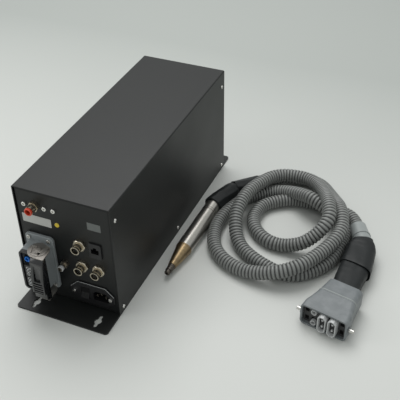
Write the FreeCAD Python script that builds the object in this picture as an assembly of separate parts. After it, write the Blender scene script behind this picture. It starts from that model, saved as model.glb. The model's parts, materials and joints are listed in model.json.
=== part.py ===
import FreeCAD, Part
import math
import os

# Bench supply of an atmospheric plasma torch, with the torch lead lying beside it.
# Millimetres. X runs across the front panel, Y from the front to the rear, Z up.
# The origin is on the underside of the base plate, under the middle of the panel's front edge.

# Case
CASE_WIDTH = 150.0
CASE_DEPTH = 406.0
CASE_HEIGHT = 194.0
COVER_SHEET = 1.5
COVER_BEND = 2.2
PLATE_THICKNESS = 2.5
PLATE_CORNER = 5.0
FRONT_LUG = 40.5
REAR_LUG = 27.0
PLATE_FLANGE = 16.0
PLATE_FLANGE_SHEET = 1.6
COVER_GAP = 0.2
SLOT_SPACING = 102.0
SLOT_LENGTH = 24.0
SLOT_WIDTH = 5.5
SLOT_ENTRY = 11.0
SLOT_REACH = 22.5
REAR_HOLE = 5.5
REAR_HOLE_REACH = 14.0

# Front and rear panels
PANEL_SETBACK = 1.5
PANEL_SHEET = 2.0
PANEL_BEND = 3.0
PANEL_FLANGE = 22.0
PANEL_TOP_GAP = 0.8

# Cover screws
SCREW_RADIUS = 1.5
SCREW_HEAD = 3.0
SCREW_DRIVE = 1.1
SCREW_HEAD_HEIGHT = 2.0
SCREW_LENGTH = 6.0
SCREW_INSET = 12.0
SCREW_LOW = 9.5
SCREW_DROP = 25.0
SCREW_HIGH = CASE_HEIGHT - SCREW_DROP
FIT = 0.1

# Air inlet, its regulator and the socket head screws that hold it
AIR_X = -43.2
AIR_DROP = 27.0
AIR_Z = CASE_HEIGHT - AIR_DROP
AIR_NUT_RADIUS = 7.0
AIR_BODY_RADIUS = 6.3
AIR_BODY_LENGTH = 13.0
AIR_NUT_LENGTH = 4.0
TUBE_RADIUS = 4.0
COLLAR_LENGTH = 5.0
COLLAR_RADIUS = 6.0
COLLAR_TRAVEL = 1.2
HOLD_SCREW_X = (-59.4, -27.0, -13.0)
HOLD_SCREW_RADIUS = 2.0
HOLD_HEAD_RADIUS = 3.4
HOLD_HEAD_HEIGHT = 3.6
HOLD_HEX = 1.6

# Label plate, status dot and display
LABEL_X = -43.0
LABEL_DROP = 52.0
LABEL_Z = CASE_HEIGHT - LABEL_DROP
LABEL_WIDTH = 46.0
LABEL_HEIGHT = 14.5
LABEL_SHEET = 0.4
LAMP_X = -10.6
LAMP_DROP = 51.0
LAMP_Z = CASE_HEIGHT - LAMP_DROP
LAMP_RADIUS = 3.6
DISPLAY_X = 48.0
DISPLAY_DROP = 37.0
DISPLAY_Z = CASE_HEIGHT - DISPLAY_DROP
DISPLAY_WIDTH = 20.5
DISPLAY_HEIGHT = 12.5
DISPLAY_DEPTH = 6.0

# Round signal ports
PORT_A = (22.0, 79.5)
PORT_B = (48.0, 79.5)
PORT_C = (22.0, 118.0)
PORT_HEX = 9.0
PORT_HEX_LENGTH = 4.5
PORT_SLEEVE = 6.6
PORT_WALL = 1.3
PORT_REACH = 14.5
PORT_THREAD = 6.0
PORT_TAIL = 12.0
PORT_INSERT_DEPTH = 6.0
PORT_PIN = 0.5
PORT_PIN_CIRCLE = 2.2

# Network port
NET_X = 46.5
NET_Z = 115.0
NET_WIDTH = 19.0
NET_HEIGHT = 26.0
NET_REACH = 3.0
NET_BODY_DEPTH = 18.0
NET_MOUTH_WIDTH = 12.0
NET_MOUTH_HEIGHT = 8.0

# Small gas fitting
VENT_X = -6.5
VENT_Z = 75.0
VENT_HEX = 5.5
VENT_HEX_LENGTH = 5.0
VENT_STEM = 3.4
VENT_REACH = 16.0
VENT_BORE = 1.4
VENT_RING = 4.4
VENT_RING_LENGTH = 5.0

# Mains inlet with its rocker
INLET_X = 33.0
INLET_Z = 28.4
INLET_WIDTH = 71.0
INLET_HEIGHT = 39.0
INLET_CHAMFER = 13.0
INLET_FLANGE = 2.5
INLET_SCREW_SPACING = 58.6
INLET_BODY_WIDTH = 48.0
INLET_BODY_HEIGHT = 28.0
INLET_BODY_DEPTH = 30.0
RECESS_X = 46.5
RECESS_WIDTH = 24.2
RECESS_HEIGHT = 16.6
RECESS_CHAMFER = 4.5
RECESS_DEPTH = 17.0
ROCKER_X = 21.5
ROCKER_WIDTH = 13.0
ROCKER_HEIGHT = 19.6
ROCKER_GAP = 0.5
ROCKER_END_GAP = 1.0
ROCKER_DISH = 1.8
ROCKER_TILT = 8.0
ROCKER_PIVOT_DEPTH = 5.0
ROCKER_PIN = 1.5
PIN_FIT = 0.06

# Rectangular socket, the same size as the plug hood's mouth
MATE_LENGTH = 71.0
MATE_WIDTH = 36.5
SOCKET_X = -41.5
SOCKET_Z = 71.5
SOCKET_FLANGE_SHEET = 4.0
SOCKET_CORNER = 6.0
SOCKET_REACH = 26.0
SOCKET_WALL = 2.6
SOCKET_DRAFT = 0.8
SOCKET_PATTERN_WIDTH = 32.0
SOCKET_PATTERN_HEIGHT = 83.0
SOCKET_SIDE_MARGIN = 6.5
SOCKET_END_MARGIN = 5.5
SOCKET_FLANGE_WIDTH = SOCKET_PATTERN_WIDTH + 2 * SOCKET_SIDE_MARGIN
SOCKET_FLANGE_HEIGHT = SOCKET_PATTERN_HEIGHT + 2 * SOCKET_END_MARGIN
GASKET_SHEET = 1.5
FRAME_DEPTH = 14.0
FRAME_BORDER = 2.0
FRAME_CLEAR = 0.2
MODULE_BAR = 0.6
MODULE_WIDTH = 27.2
AIR_MODULE_HEIGHT = 21.0
VOLTAGE_MODULE_HEIGHT = 21.4
MODULE_TAIL = 6.0
AIR_RING_OFFSET = 9.4
AIR_RING_RADIUS = 4.3
AIR_RING_STEM = 3.6

# Locking lever
LEVER_PIVOT_DEPTH = 17.0
LEVER_PIN = 3.0
LEVER_BOSS = 8.5
LEVER_SHEET = 2.5
LEVER_PIN_HEAD = 4.6
LEVER_PIN_HEAD_HEIGHT = 1.8
LEVER_CLEAR = 0.5
LEVER_LOBE = 13.0
LEVER_LOBE_REACH = 16.6
LEVER_LOBE_ANGLE = -33.0
GRIP_REACH = 31.0
GRIP_THICKNESS = 7.0
GRIP_WIDTH = 22.0
GRIP_ANGLE = -49.0
GRIP_OVERHANG = 3.5

# Fan at the rear
FAN_X = 15.0
FAN_Z = 110.0
FAN_SIZE = 80.0
FAN_DEPTH = 25.0
FAN_BORE = 76.0
FAN_PITCH = 71.5
FAN_HUB = 15.0
FAN_BLADES = 7
FAN_CLEAR = 1.0
FAN_SHAFT = 1.5
GUARD_WIRE = 1.0
GUARD_RINGS = 5
GUARD_INNER_RING = 6.0
GUARD_EYE = 3.6
VENT_SLOTS = 7

# Inside
BOARD_WIDTH = 126.0
BOARD_LENGTH = 112.0
BOARD_Y = 45.0
BOARD_SHEET = 1.6
STANDOFF = 10.0
STANDOFF_RADIUS = 3.0
SINK_WIDTH = 80.0
SINK_LENGTH = 90.0
SINK_BASE = 6.0
SINK_HEIGHT = 42.0
SINK_FINS = 9
SINK_FIN = 1.8
CORE_Y = 175.0
CORE_WIDTH = 84.0
CORE_LENGTH = 42.0
CORE_HEIGHT = 76.0
CORE_LIMB = 20.0
COIL_RADIUS = 19.0
SUPPLY_FROM_REAR = 156.0
SUPPLY_Y = CASE_DEPTH - SUPPLY_FROM_REAR
SUPPLY_WIDTH = 118.0
SUPPLY_LENGTH = 110.0
SUPPLY_HEIGHT = 42.0
SUPPLY_SHEET = 1.5
REGULATOR_WIDTH = 62.0
REGULATOR_DEPTH = 34.0
REGULATOR_HEIGHT = 28.0
REGULATOR_SIDE = 22.0
REGULATOR_DOME = 13.0
REGULATOR_DOME_LENGTH = 20.0
INNER_TUBE = 3.0

# Torch
TORCH_NOSE = (105.0, 95.0)
TORCH_TAIL = (109.8, 275.0)
TORCH_RADIUS = 13.0
TORCH_LIFT = 2.3
NOZZLE_TIP = 4.4
NOZZLE_TIP_LENGTH = 6.0
NOZZLE_COLLAR = 5.4
NOZZLE_COLLAR_LENGTH = 12.0
NOZZLE_BORE = 2.0
CONE_NOSE = 6.4
CONE_LENGTH = 43.0
BARREL_WALL = 1.5
SEAM_FROM_TAIL = 26.0
ELECTRODE_RADIUS = 2.6
INSULATOR_RADIUS = 8.0
INSULATOR_BORE = 5.0
SLEEVE_FRONT = 15.2
SLEEVE_REAR = 12.4
SLEEVE_OVERLAP = 6.0
SLEEVE_END = (125.5, 331.5, 13.0)
TAIL_END = (156.0, 366.0, 12.3)
TAIL_RADIUS = 11.8

# Hose
HOSE_RADIUS = 11.0
HOSE_CLEAR = 0.4
COIL_LAYER = 22.5
RUN_POINTS = (
    (281.0, 338.0, 11.6), (304.0, 338.5, 12.6), (323.5, 333.0, 14.2), (338.0, 320.5, 15.1),
    (345.8, 305.0, 15.4),
)
CUFF_RADIUS = 14.0
CUFF_LENGTH = 40.0
CUFF_HIDDEN = 6.0
CUFF_RING = 15.0

# Plug
PLUG_CENTRE = (351.3, 80.2)
PLUG_TURN = -11.3
PLUG_AXIS_HEIGHT = 19.1
PLUG_LENGTH = 70.0
PLUG_WALL = 2.6
SHOULDER_WIDTH = 58.0
SHOULDER_HEIGHT = 38.0
SHOULDER_AT = 43.0
REAR_WIDTH = 54.0
REAR_HEIGHT = 35.5
PEG_SPAN = 88.0
PEG_RADIUS = 3.0
PEG_SETBACK = 7.0
HOUSE_SHROUD = 8.0
SHROUD_WALL = 1.1
CONTACT_REACH = 3.0
PLUG_RECESS = 5.0
PLUG_FRAME_DEPTH = 8.5
SLEEVE_WIDTH = 41.0
SLEEVE_HEIGHT = 25.0
SLEEVE_AXIS = 16.2


def place(x, y, z):
    return FreeCAD.Vector(x, y, z)


UP = place(0, 0, 1)
FRONT = place(0, -1, 0)
REAR = place(0, 1, 0)


def block(x0, x1, y0, y1, z0, z1):
    """A box between two corners."""
    return Part.makeBox(x1 - x0, y1 - y0, z1 - z0, place(x0, y0, z0))


def rod(radius, start, direction, length):
    return Part.makeCylinder(radius, length, start, direction)


def fused(pieces):
    """One clean solid, or group of solids, from several."""
    whole = pieces[0]
    if len(pieces) > 1:
        whole = whole.fuse(pieces[1:])
    return whole.removeSplitter()


def rounded_outline(width, height, corner):
    """A closed wire in the XZ plane, centred on the origin, with round corners."""
    w, h = width / 2, height / 2
    c = min(corner, w * 0.95, h * 0.95)
    k = c * (1 - math.sqrt(0.5))
    edges = [Part.LineSegment(place(-w + c, 0, -h), place(w - c, 0, -h)).toShape()]
    edges.append(Part.Arc(place(w - c, 0, -h), place(w - k, 0, -h + k), place(w, 0, -h + c)).toShape())
    edges.append(Part.LineSegment(place(w, 0, -h + c), place(w, 0, h - c)).toShape())
    edges.append(Part.Arc(place(w, 0, h - c), place(w - k, 0, h - k), place(w - c, 0, h)).toShape())
    edges.append(Part.LineSegment(place(w - c, 0, h), place(-w + c, 0, h)).toShape())
    edges.append(Part.Arc(place(-w + c, 0, h), place(-w + k, 0, h - k), place(-w, 0, h - c)).toShape())
    edges.append(Part.LineSegment(place(-w, 0, h - c), place(-w, 0, -h + c)).toShape())
    edges.append(Part.Arc(place(-w, 0, -h + c), place(-w + k, 0, -h + k), place(-w + c, 0, -h)).toShape())
    return Part.Wire(edges)


def slab(width, height, corner, y0, y1, x=0.0, z=0.0):
    """A round-cornered plate standing in the panel's plane, from y0 back to y1."""
    face = Part.Face(rounded_outline(width, height, corner))
    solid = face.extrude(place(0, y1 - y0, 0))
    solid.translate(place(x, y0, z))
    return solid


def polygon_prism(points, start, direction, length):
    """A prism over a flat closed polygon given by its points in space."""
    wire = Part.makePolygon(points + [points[0]])
    solid = Part.Face(wire).extrude(direction * length)
    solid.translate(start)
    return solid


def hex_prism(across, x, z, y0, y1):
    """A hexagon, across its flats, standing along Y."""
    radius = across / math.sqrt(3)
    points = [
        place(radius * math.cos(math.radians(60 * i)), 0, radius * math.sin(math.radians(60 * i)))
        for i in range(6)
    ]
    return polygon_prism(points, place(x, y0, z), REAR, y1 - y0)


def cut_all(body, tools):
    return body.cut(tools).removeSplitter()


# Places that several pieces share
PANEL_Y = PANEL_SETBACK
PANEL_BACK = PANEL_SETBACK + PANEL_SHEET
REAR_Y = CASE_DEPTH - PANEL_SETBACK
REAR_FACE = REAR_Y - PANEL_SHEET
COVER_INNER = CASE_WIDTH / 2 - COVER_SHEET
PANEL_TOP = CASE_HEIGHT - COVER_SHEET - PANEL_TOP_GAP
SIDE_SCREWS = (
    (SCREW_INSET, SCREW_LOW), (SCREW_INSET, SCREW_HIGH),
    (CASE_DEPTH / 2, SCREW_LOW),
    (CASE_DEPTH - SCREW_INSET, SCREW_LOW), (CASE_DEPTH - SCREW_INSET, SCREW_HIGH),
)


def side_screw_holes(radius):
    """Bores through both sides of the case at every cover screw."""
    return [
        rod(radius, place(-CASE_WIDTH, y, z), place(1, 0, 0), 2 * CASE_WIDTH)
        for y, z in SIDE_SCREWS
    ]


# Case
def keyhole(x):
    """A slot with a round entry at its middle, cut through the front lug."""
    y = -SLOT_REACH
    half = (SLOT_LENGTH - SLOT_WIDTH) / 2
    bottom = -PLATE_THICKNESS
    depth = 3 * PLATE_THICKNESS
    pieces = [block(x - SLOT_WIDTH / 2, x + SLOT_WIDTH / 2, y - half, y + half, bottom, bottom + depth)]
    pieces += [rod(SLOT_WIDTH / 2, place(x, y + s * half, bottom), UP, depth) for s in (-1, 1)]
    pieces.append(rod(SLOT_ENTRY / 2, place(x, y, bottom), UP, depth))
    return fused(pieces)


def base_plate():
    """Floor plate with lugs at both ends and turned-up sides that take the low cover screws."""
    w = CASE_WIDTH / 2
    plate = block(-w, w, -FRONT_LUG, CASE_DEPTH + REAR_LUG, 0, PLATE_THICKNESS)
    corners = [e for e in plate.Edges if abs(e.tangentAt(e.FirstParameter).z) > 0.9]
    plate = plate.makeFillet(PLATE_CORNER, corners)
    front = PANEL_Y + PANEL_FLANGE + 1
    rear = CASE_DEPTH - front
    sides = []
    for s in (-1, 1):
        outer = s * COVER_INNER
        inner = s * (COVER_INNER - PLATE_FLANGE_SHEET)
        sides.append(block(min(outer, inner), max(outer, inner), front, rear, 0, PLATE_FLANGE))
    plate = fused([plate] + sides)
    holes = [keyhole(s * SLOT_SPACING / 2) for s in (-1, 1)]
    for s in (-1, 1):
        start = place(s * SLOT_SPACING / 2, CASE_DEPTH + REAR_HOLE_REACH, -PLATE_THICKNESS)
        holes.append(rod(REAR_HOLE / 2, start, UP, 3 * PLATE_THICKNESS))
    return cut_all(plate, holes + side_screw_holes(SCREW_RADIUS + FIT))


def panel_tray(sign):
    """A panel folded back on all four sides. sign is -1 at the front and 1 at the rear."""
    bottom = PLATE_THICKNESS
    w = COVER_INNER
    if sign < 0:
        y0, y1 = PANEL_Y, PANEL_Y + PANEL_FLANGE
    else:
        y0, y1 = REAR_Y - PANEL_FLANGE, REAR_Y
    outer = block(-w, w, y0, y1, bottom, PANEL_TOP)
    face_y = y0 if sign < 0 else y1
    edges = [e for e in outer.Edges if abs(e.CenterOfMass.y - face_y) < 0.01]
    outer = outer.makeFillet(PANEL_BEND, edges)
    s = PANEL_SHEET
    start, stop = (y0 + s, y1 + s) if sign < 0 else (y0 - s, y1 - s)
    inner = block(-w + s, w - s, start, stop, bottom + s, PANEL_TOP - s)
    back = stop if sign < 0 else start
    inner_edges = [
        e for e in inner.Edges
        if abs(e.CenterOfMass.y - back) > 1 and abs(e.tangentAt(e.FirstParameter).y) < 0.5
    ]
    inner = inner.makeFillet(PANEL_BEND - s, inner_edges)
    return outer.cut(inner)


def panel_openings():
    """Every cut-out in the front panel, each the size of what passes through it."""
    y, d = PANEL_Y - 1, PANEL_SHEET + 2
    cuts = [rod(AIR_BODY_RADIUS - 0.5, place(AIR_X, y, AIR_Z), REAR, d)]
    cuts += [rod(HOLD_SCREW_RADIUS + FIT, place(x, y, AIR_Z), REAR, d) for x in HOLD_SCREW_X]
    for x, z in (PORT_A, PORT_B, PORT_C):
        cuts.append(rod(PORT_THREAD + FIT, place(x, y, z), REAR, d))
    cuts.append(rod(VENT_STEM + FIT, place(VENT_X, y, VENT_Z), REAR, d))
    cuts.append(slab(DISPLAY_WIDTH + FIT, DISPLAY_HEIGHT + FIT, 0.6, y, y + d, DISPLAY_X, DISPLAY_Z))
    cuts.append(slab(NET_WIDTH - 3, NET_HEIGHT - 8, 0.6, y, y + d, NET_X, NET_Z))
    cuts.append(slab(INLET_BODY_WIDTH + FIT, INLET_BODY_HEIGHT + FIT, 1, y, y + d, INLET_X, INLET_Z))
    for s in (-1, 1):
        start = place(INLET_X + s * INLET_SCREW_SPACING / 2, y, INLET_Z)
        cuts.append(rod(SCREW_RADIUS + FIT, start, REAR, d))
    inner = (MATE_WIDTH - 2 * SOCKET_WALL, MATE_LENGTH - 2 * SOCKET_WALL)
    cuts.append(slab(inner[0], inner[1], SOCKET_CORNER - SOCKET_WALL, y, y + d, SOCKET_X, SOCKET_Z))
    cuts += socket_pattern(SCREW_RADIUS + FIT, y, d)
    return cuts


def front_panel():
    return cut_all(panel_tray(-1), panel_openings() + side_screw_holes(SCREW_RADIUS + FIT))


def rear_panel():
    """Panel with the fan's opening, its four screw holes and a bank of air slots."""
    y, d = REAR_FACE - 1, PANEL_SHEET + 2
    cuts = [rod(FAN_BORE / 2, place(FAN_X, y, FAN_Z), REAR, d)]
    for sx in (-1, 1):
        for sz in (-1, 1):
            start = place(FAN_X + sx * FAN_PITCH / 2, y, FAN_Z + sz * FAN_PITCH / 2)
            cuts.append(rod(FAN_SHAFT + FIT, start, REAR, d))
    for i in range(VENT_SLOTS):
        x = (i - (VENT_SLOTS - 1) / 2) * 16.0
        cuts.append(slab(5, 30, 2.5, y, y + d, x, 36))
    return cut_all(panel_tray(1), cuts + side_screw_holes(SCREW_RADIUS + FIT))


def top_cover():
    """Inverted U of sheet over the panels, its two sides standing just off the base plate."""
    w = CASE_WIDTH / 2
    low = PLATE_THICKNESS + COVER_GAP
    outer = block(-w, w, 0, CASE_DEPTH, low, CASE_HEIGHT)
    bends = [
        e for e in outer.Edges
        if abs(e.tangentAt(e.FirstParameter).y) > 0.9 and e.CenterOfMass.z > CASE_HEIGHT - 1
    ]
    outer = outer.makeFillet(COVER_BEND, bends)
    inner = block(-COVER_INNER, COVER_INNER, -1, CASE_DEPTH + 1, low - 1, CASE_HEIGHT - COVER_SHEET)
    bends = [
        e for e in inner.Edges
        if abs(e.tangentAt(e.FirstParameter).y) > 0.9 and e.CenterOfMass.z > low
    ]
    inner = inner.makeFillet(COVER_BEND - COVER_SHEET, bends)
    return cut_all(outer.cut(inner), side_screw_holes(SCREW_RADIUS + FIT))


def pan_screw(x, y, z, direction, head_radius=SCREW_HEAD, radius=SCREW_RADIUS):
    """A crowned head on the surface at this point, with its shank going the other way."""
    rim = rod(head_radius, place(0, 0, 0), UP, 0.4 * SCREW_HEAD_HEIGHT)
    crown = Part.makeCone(
        head_radius, 0.6 * head_radius, 0.6 * SCREW_HEAD_HEIGHT, place(0, 0, 0.4 * SCREW_HEAD_HEIGHT), UP
    )
    shank = rod(radius, place(0, 0, 0), UP * -1, SCREW_LENGTH)
    drive = rod(SCREW_DRIVE, place(0, 0, 0.4 * SCREW_HEAD_HEIGHT), UP, 2 * SCREW_HEAD_HEIGHT)
    screw = cut_all(fused([rim, crown, shank]), [drive])
    screw.Placement = FreeCAD.Placement(place(x, y, z), FreeCAD.Rotation(UP, direction))
    return screw


def cover_screws():
    pieces = []
    for y, z in SIDE_SCREWS:
        pieces.append(pan_screw(CASE_WIDTH / 2, y, z, place(1, 0, 0)))
        pieces.append(pan_screw(-CASE_WIDTH / 2, y, z, place(-1, 0, 0)))
    return Part.makeCompound(pieces)


# Front panel fittings
def panel_screws():
    """Socket head screws that hold the regulator behind the panel."""
    pieces = []
    for x in HOLD_SCREW_X:
        head = rod(HOLD_HEAD_RADIUS, place(x, PANEL_Y, AIR_Z), FRONT, HOLD_HEAD_HEIGHT)
        head = head.makeChamfer(0.5, [e for e in head.Edges if e.CenterOfMass.y < PANEL_Y - 1])
        shank = rod(HOLD_SCREW_RADIUS, place(x, PANEL_Y, AIR_Z), REAR, PANEL_SHEET + 6)
        hexagon = hex_prism(2 * HOLD_HEX, x, AIR_Z, PANEL_Y - HOLD_HEAD_HEIGHT - 1, PANEL_Y - 1.6)
        pieces.append(head.fuse(shank).cut(hexagon).removeSplitter())
    return Part.makeCompound(pieces)


def air_inlet_body():
    """Push-in fitting: hexagon against the panel, round body and a spigot into the regulator."""
    nut = hex_prism(2 * AIR_NUT_RADIUS, AIR_X, AIR_Z, PANEL_Y - AIR_NUT_LENGTH, PANEL_Y)
    body = rod(AIR_BODY_RADIUS, place(AIR_X, PANEL_Y, AIR_Z), FRONT, AIR_BODY_LENGTH)
    tail = rod(AIR_BODY_RADIUS - 0.6, place(AIR_X, PANEL_Y, AIR_Z), REAR, PANEL_SHEET + 6)
    front = PANEL_Y - AIR_BODY_LENGTH
    bore = rod(TUBE_RADIUS, place(AIR_X, front - 1, AIR_Z), REAR, AIR_BODY_LENGTH + 5)
    seat_depth = COLLAR_LENGTH + COLLAR_TRAVEL + 1
    seat = rod(COLLAR_RADIUS - 1.2 + PIN_FIT, place(AIR_X, front - 1, AIR_Z), REAR, seat_depth)
    return cut_all(fused([nut, body, tail]), [bore, seat])


def release_collar():
    """Flanged ring that slides into the fitting's mouth and lets the tube go."""
    front = PANEL_Y - AIR_BODY_LENGTH
    lip = rod(COLLAR_RADIUS, place(AIR_X, front - COLLAR_TRAVEL - 0.2, AIR_Z), FRONT, 2.0)
    lip = lip.makeChamfer(0.6, [e for e in lip.Edges if e.CenterOfMass.y < front - COLLAR_TRAVEL - 1])
    stem = rod(COLLAR_RADIUS - 1.2, place(AIR_X, front - COLLAR_TRAVEL - 0.2, AIR_Z), REAR, COLLAR_LENGTH)
    bore = rod(TUBE_RADIUS + 0.2, place(AIR_X, front - 9, AIR_Z), REAR, 20)
    return cut_all(fused([lip, stem]), [bore])


def label_plate():
    return slab(LABEL_WIDTH, LABEL_HEIGHT, 1, PANEL_Y - LABEL_SHEET, PANEL_Y, LABEL_X, LABEL_Z)


def status_lamp():
    lens = rod(LAMP_RADIUS, place(LAMP_X, PANEL_Y, LAMP_Z), FRONT, 1.2)
    return lens.makeChamfer(0.5, [e for e in lens.Edges if e.CenterOfMass.y < PANEL_Y - 1])


def display_window():
    return slab(DISPLAY_WIDTH, DISPLAY_HEIGHT, 0.5, PANEL_Y - 0.4, PANEL_BACK, DISPLAY_X, DISPLAY_Z)


def display_board():
    """Three digit blocks on a small circuit board behind the window."""
    board_y = PANEL_BACK + DISPLAY_DEPTH
    board = slab(DISPLAY_WIDTH + 12, DISPLAY_HEIGHT + 14, 1, board_y, board_y + BOARD_SHEET,
                 DISPLAY_X, DISPLAY_Z)
    block_size = (DISPLAY_WIDTH, DISPLAY_HEIGHT)
    digits = slab(block_size[0], block_size[1], 0.5, PANEL_BACK, board_y, DISPLAY_X, DISPLAY_Z)
    return fused([board, digits])


def port_shell(x, z):
    """Round signal port: hexagon flange, threaded sleeve with a ring at its mouth, nut behind."""
    flange = hex_prism(2 * PORT_HEX, x, z, PANEL_Y - PORT_HEX_LENGTH, PANEL_Y)
    chamfer = rod(PORT_HEX + 0.6, place(x, PANEL_Y, z), FRONT, PORT_HEX_LENGTH)
    chamfer = chamfer.makeChamfer(1.2, [e for e in chamfer.Edges if e.CenterOfMass.y < PANEL_Y - 1])
    flange = flange.common(chamfer)
    sleeve = rod(PORT_SLEEVE, place(x, PANEL_Y, z), FRONT, PORT_REACH)
    groove = rod(PORT_SLEEVE + 1, place(x, PANEL_Y - PORT_REACH + 4.2, z), FRONT, 1.4)
    core = rod(PORT_SLEEVE - 0.8, place(x, PANEL_Y - PORT_REACH + 5, z), FRONT, 3)
    sleeve = sleeve.cut(groove.cut(core))
    tail = rod(PORT_THREAD, place(x, PANEL_Y, z), REAR, PORT_TAIL)
    nut = hex_prism(2 * PORT_HEX - 1, x, z, PANEL_BACK, PANEL_BACK + 3)
    bore = rod(PORT_SLEEVE - PORT_WALL, place(x, PANEL_Y - PORT_REACH - 1, z), REAR, PORT_REACH + 3)
    return cut_all(fused([flange, sleeve, tail, nut]), [bore])


def port_inserts():
    """The black contact carriers of the three ports, each with five pins."""
    pieces = []
    for x, z in (PORT_A, PORT_B, PORT_C):
        back = PANEL_Y + 2
        carrier = rod(PORT_SLEEVE - PORT_WALL, place(x, back, z), FRONT, PORT_REACH + 2 - PORT_INSERT_DEPTH)
        front = back - PORT_REACH - 2 + PORT_INSERT_DEPTH
        pins = [rod(PORT_PIN, place(x, front, z), FRONT, PORT_INSERT_DEPTH - 1.5)]
        for i in range(4):
            a = math.radians(45 + 90 * i)
            start = place(x + PORT_PIN_CIRCLE * math.cos(a), front, z + PORT_PIN_CIRCLE * math.sin(a))
            pins.append(rod(PORT_PIN, start, FRONT, PORT_INSERT_DEPTH - 1.5))
        pieces.append(fused([carrier] + pins))
    return Part.makeCompound(pieces)


def network_port():
    """Flanged network socket with a stepped mouth, its latch notch upward."""
    flange = slab(NET_WIDTH, NET_HEIGHT, 2, PANEL_Y - NET_REACH, PANEL_Y, NET_X, NET_Z)
    front = [e for e in flange.Edges if abs(e.CenterOfMass.y - PANEL_Y + NET_REACH) < 0.01]
    flange = flange.makeChamfer(0.6, front)
    body = slab(NET_WIDTH - 3.2, NET_HEIGHT - 8.2, 0.6, PANEL_Y, PANEL_Y + NET_BODY_DEPTH, NET_X, NET_Z)
    mouth_y = PANEL_Y - NET_REACH - 1
    deep = NET_REACH + NET_BODY_DEPTH - 3
    mouth = slab(NET_MOUTH_WIDTH, NET_MOUTH_HEIGHT, 0.4, mouth_y, mouth_y + deep, NET_X, NET_Z)
    latch = slab(5, 4, 0.3, mouth_y, mouth_y + deep, NET_X, NET_Z + NET_MOUTH_HEIGHT / 2 + 1)
    return cut_all(fused([flange, body]), [mouth, latch])


def vent_fitting():
    """Small gas fitting: hexagon at the panel, stem with its bore, nut behind the panel."""
    hexagon = hex_prism(2 * VENT_HEX, VENT_X, VENT_Z, PANEL_Y - VENT_HEX_LENGTH, PANEL_Y)
    stem = rod(VENT_STEM, place(VENT_X, PANEL_BACK + 8, VENT_Z), FRONT, VENT_REACH + PANEL_SHEET + 8)
    nut = hex_prism(2 * VENT_HEX, VENT_X, VENT_Z, PANEL_BACK, PANEL_BACK + 3)
    bore = rod(VENT_BORE, place(VENT_X, PANEL_Y - VENT_REACH - 1, VENT_Z), REAR, VENT_REACH)
    return cut_all(fused([hexagon, stem, nut]), [bore])


def vent_fitting_ring():
    """Knurled clamping ring near the fitting's mouth."""
    y = PANEL_Y - VENT_REACH + 0.6
    ring = rod(VENT_RING, place(VENT_X, y + VENT_RING_LENGTH, VENT_Z), FRONT, VENT_RING_LENGTH)
    ring = ring.makeChamfer(0.5, [e for e in ring.Edges if e.Closed])
    return cut_all(ring, [rod(VENT_STEM, place(VENT_X, y - 1, VENT_Z), REAR, VENT_RING_LENGTH + 2)])


# Mains inlet
def chamfered_outline(width, height, top, bottom):
    """Points of a plate in the XZ plane with its four corners cut off."""
    w, h = width / 2, height / 2
    return [
        place(-w, 0, -h + bottom), place(-w + bottom, 0, -h), place(w - bottom, 0, -h), place(w, 0, -h + bottom),
        place(w, 0, h - top), place(w - top, 0, h), place(-w + top, 0, h), place(-w, 0, h - top),
    ]


def power_inlet():
    """Flange with cut corners, body through the panel, the pin recess and the rocker's well."""
    outline = chamfered_outline(INLET_WIDTH, INLET_HEIGHT, INLET_CHAMFER, INLET_CHAMFER)
    front = PANEL_Y - INLET_FLANGE
    flange = polygon_prism(outline, place(INLET_X, front, INLET_Z), REAR, INLET_FLANGE)
    rim = [e for e in flange.Edges if abs(e.CenterOfMass.y - front) < 0.01]
    flange = flange.makeChamfer(0.7, rim)
    body = slab(INLET_BODY_WIDTH, INLET_BODY_HEIGHT, 1, PANEL_Y, PANEL_Y + INLET_BODY_DEPTH, INLET_X, INLET_Z)
    recess = polygon_prism(
        chamfered_outline(RECESS_WIDTH, RECESS_HEIGHT, RECESS_CHAMFER, 0.8),
        place(RECESS_X, front - 1, INLET_Z), REAR, RECESS_DEPTH + 1,
    )
    well_width = ROCKER_WIDTH + 2 * ROCKER_GAP
    well_height = ROCKER_HEIGHT + 2 * ROCKER_END_GAP
    well = slab(well_width, well_height, 0.8, front - 1, PANEL_Y + 14, ROCKER_X, INLET_Z)
    holes = [recess, well, power_pins()]
    for s in (-1, 1):
        start = place(INLET_X + s * INLET_SCREW_SPACING / 2, front - 1, INLET_Z)
        holes.append(rod(SCREW_RADIUS + FIT, start, REAR, INLET_FLANGE + 2))
    body = cut_all(fused([flange, body]), holes)
    pivot = rod(ROCKER_PIN, place(ROCKER_X - well_width / 2 - 0.5, front + ROCKER_PIVOT_DEPTH, INLET_Z),
                place(1, 0, 0), well_width + 1)
    return fused([body, pivot])


def power_pins():
    """The inlet's three flat blades, the earth blade above the other two."""
    y = PANEL_Y - INLET_FLANGE
    pieces = []
    for dx, dz in ((-7.0, -1.5), (0.0, 2.5), (7.0, -1.5)):
        x, z = RECESS_X + dx, INLET_Z + dz
        blade = block(x - 1, x + 1, y + 3, PANEL_Y + INLET_BODY_DEPTH + 7, z - 2, z + 2)
        pieces.append(blade)
    return Part.makeCompound(pieces)


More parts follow.
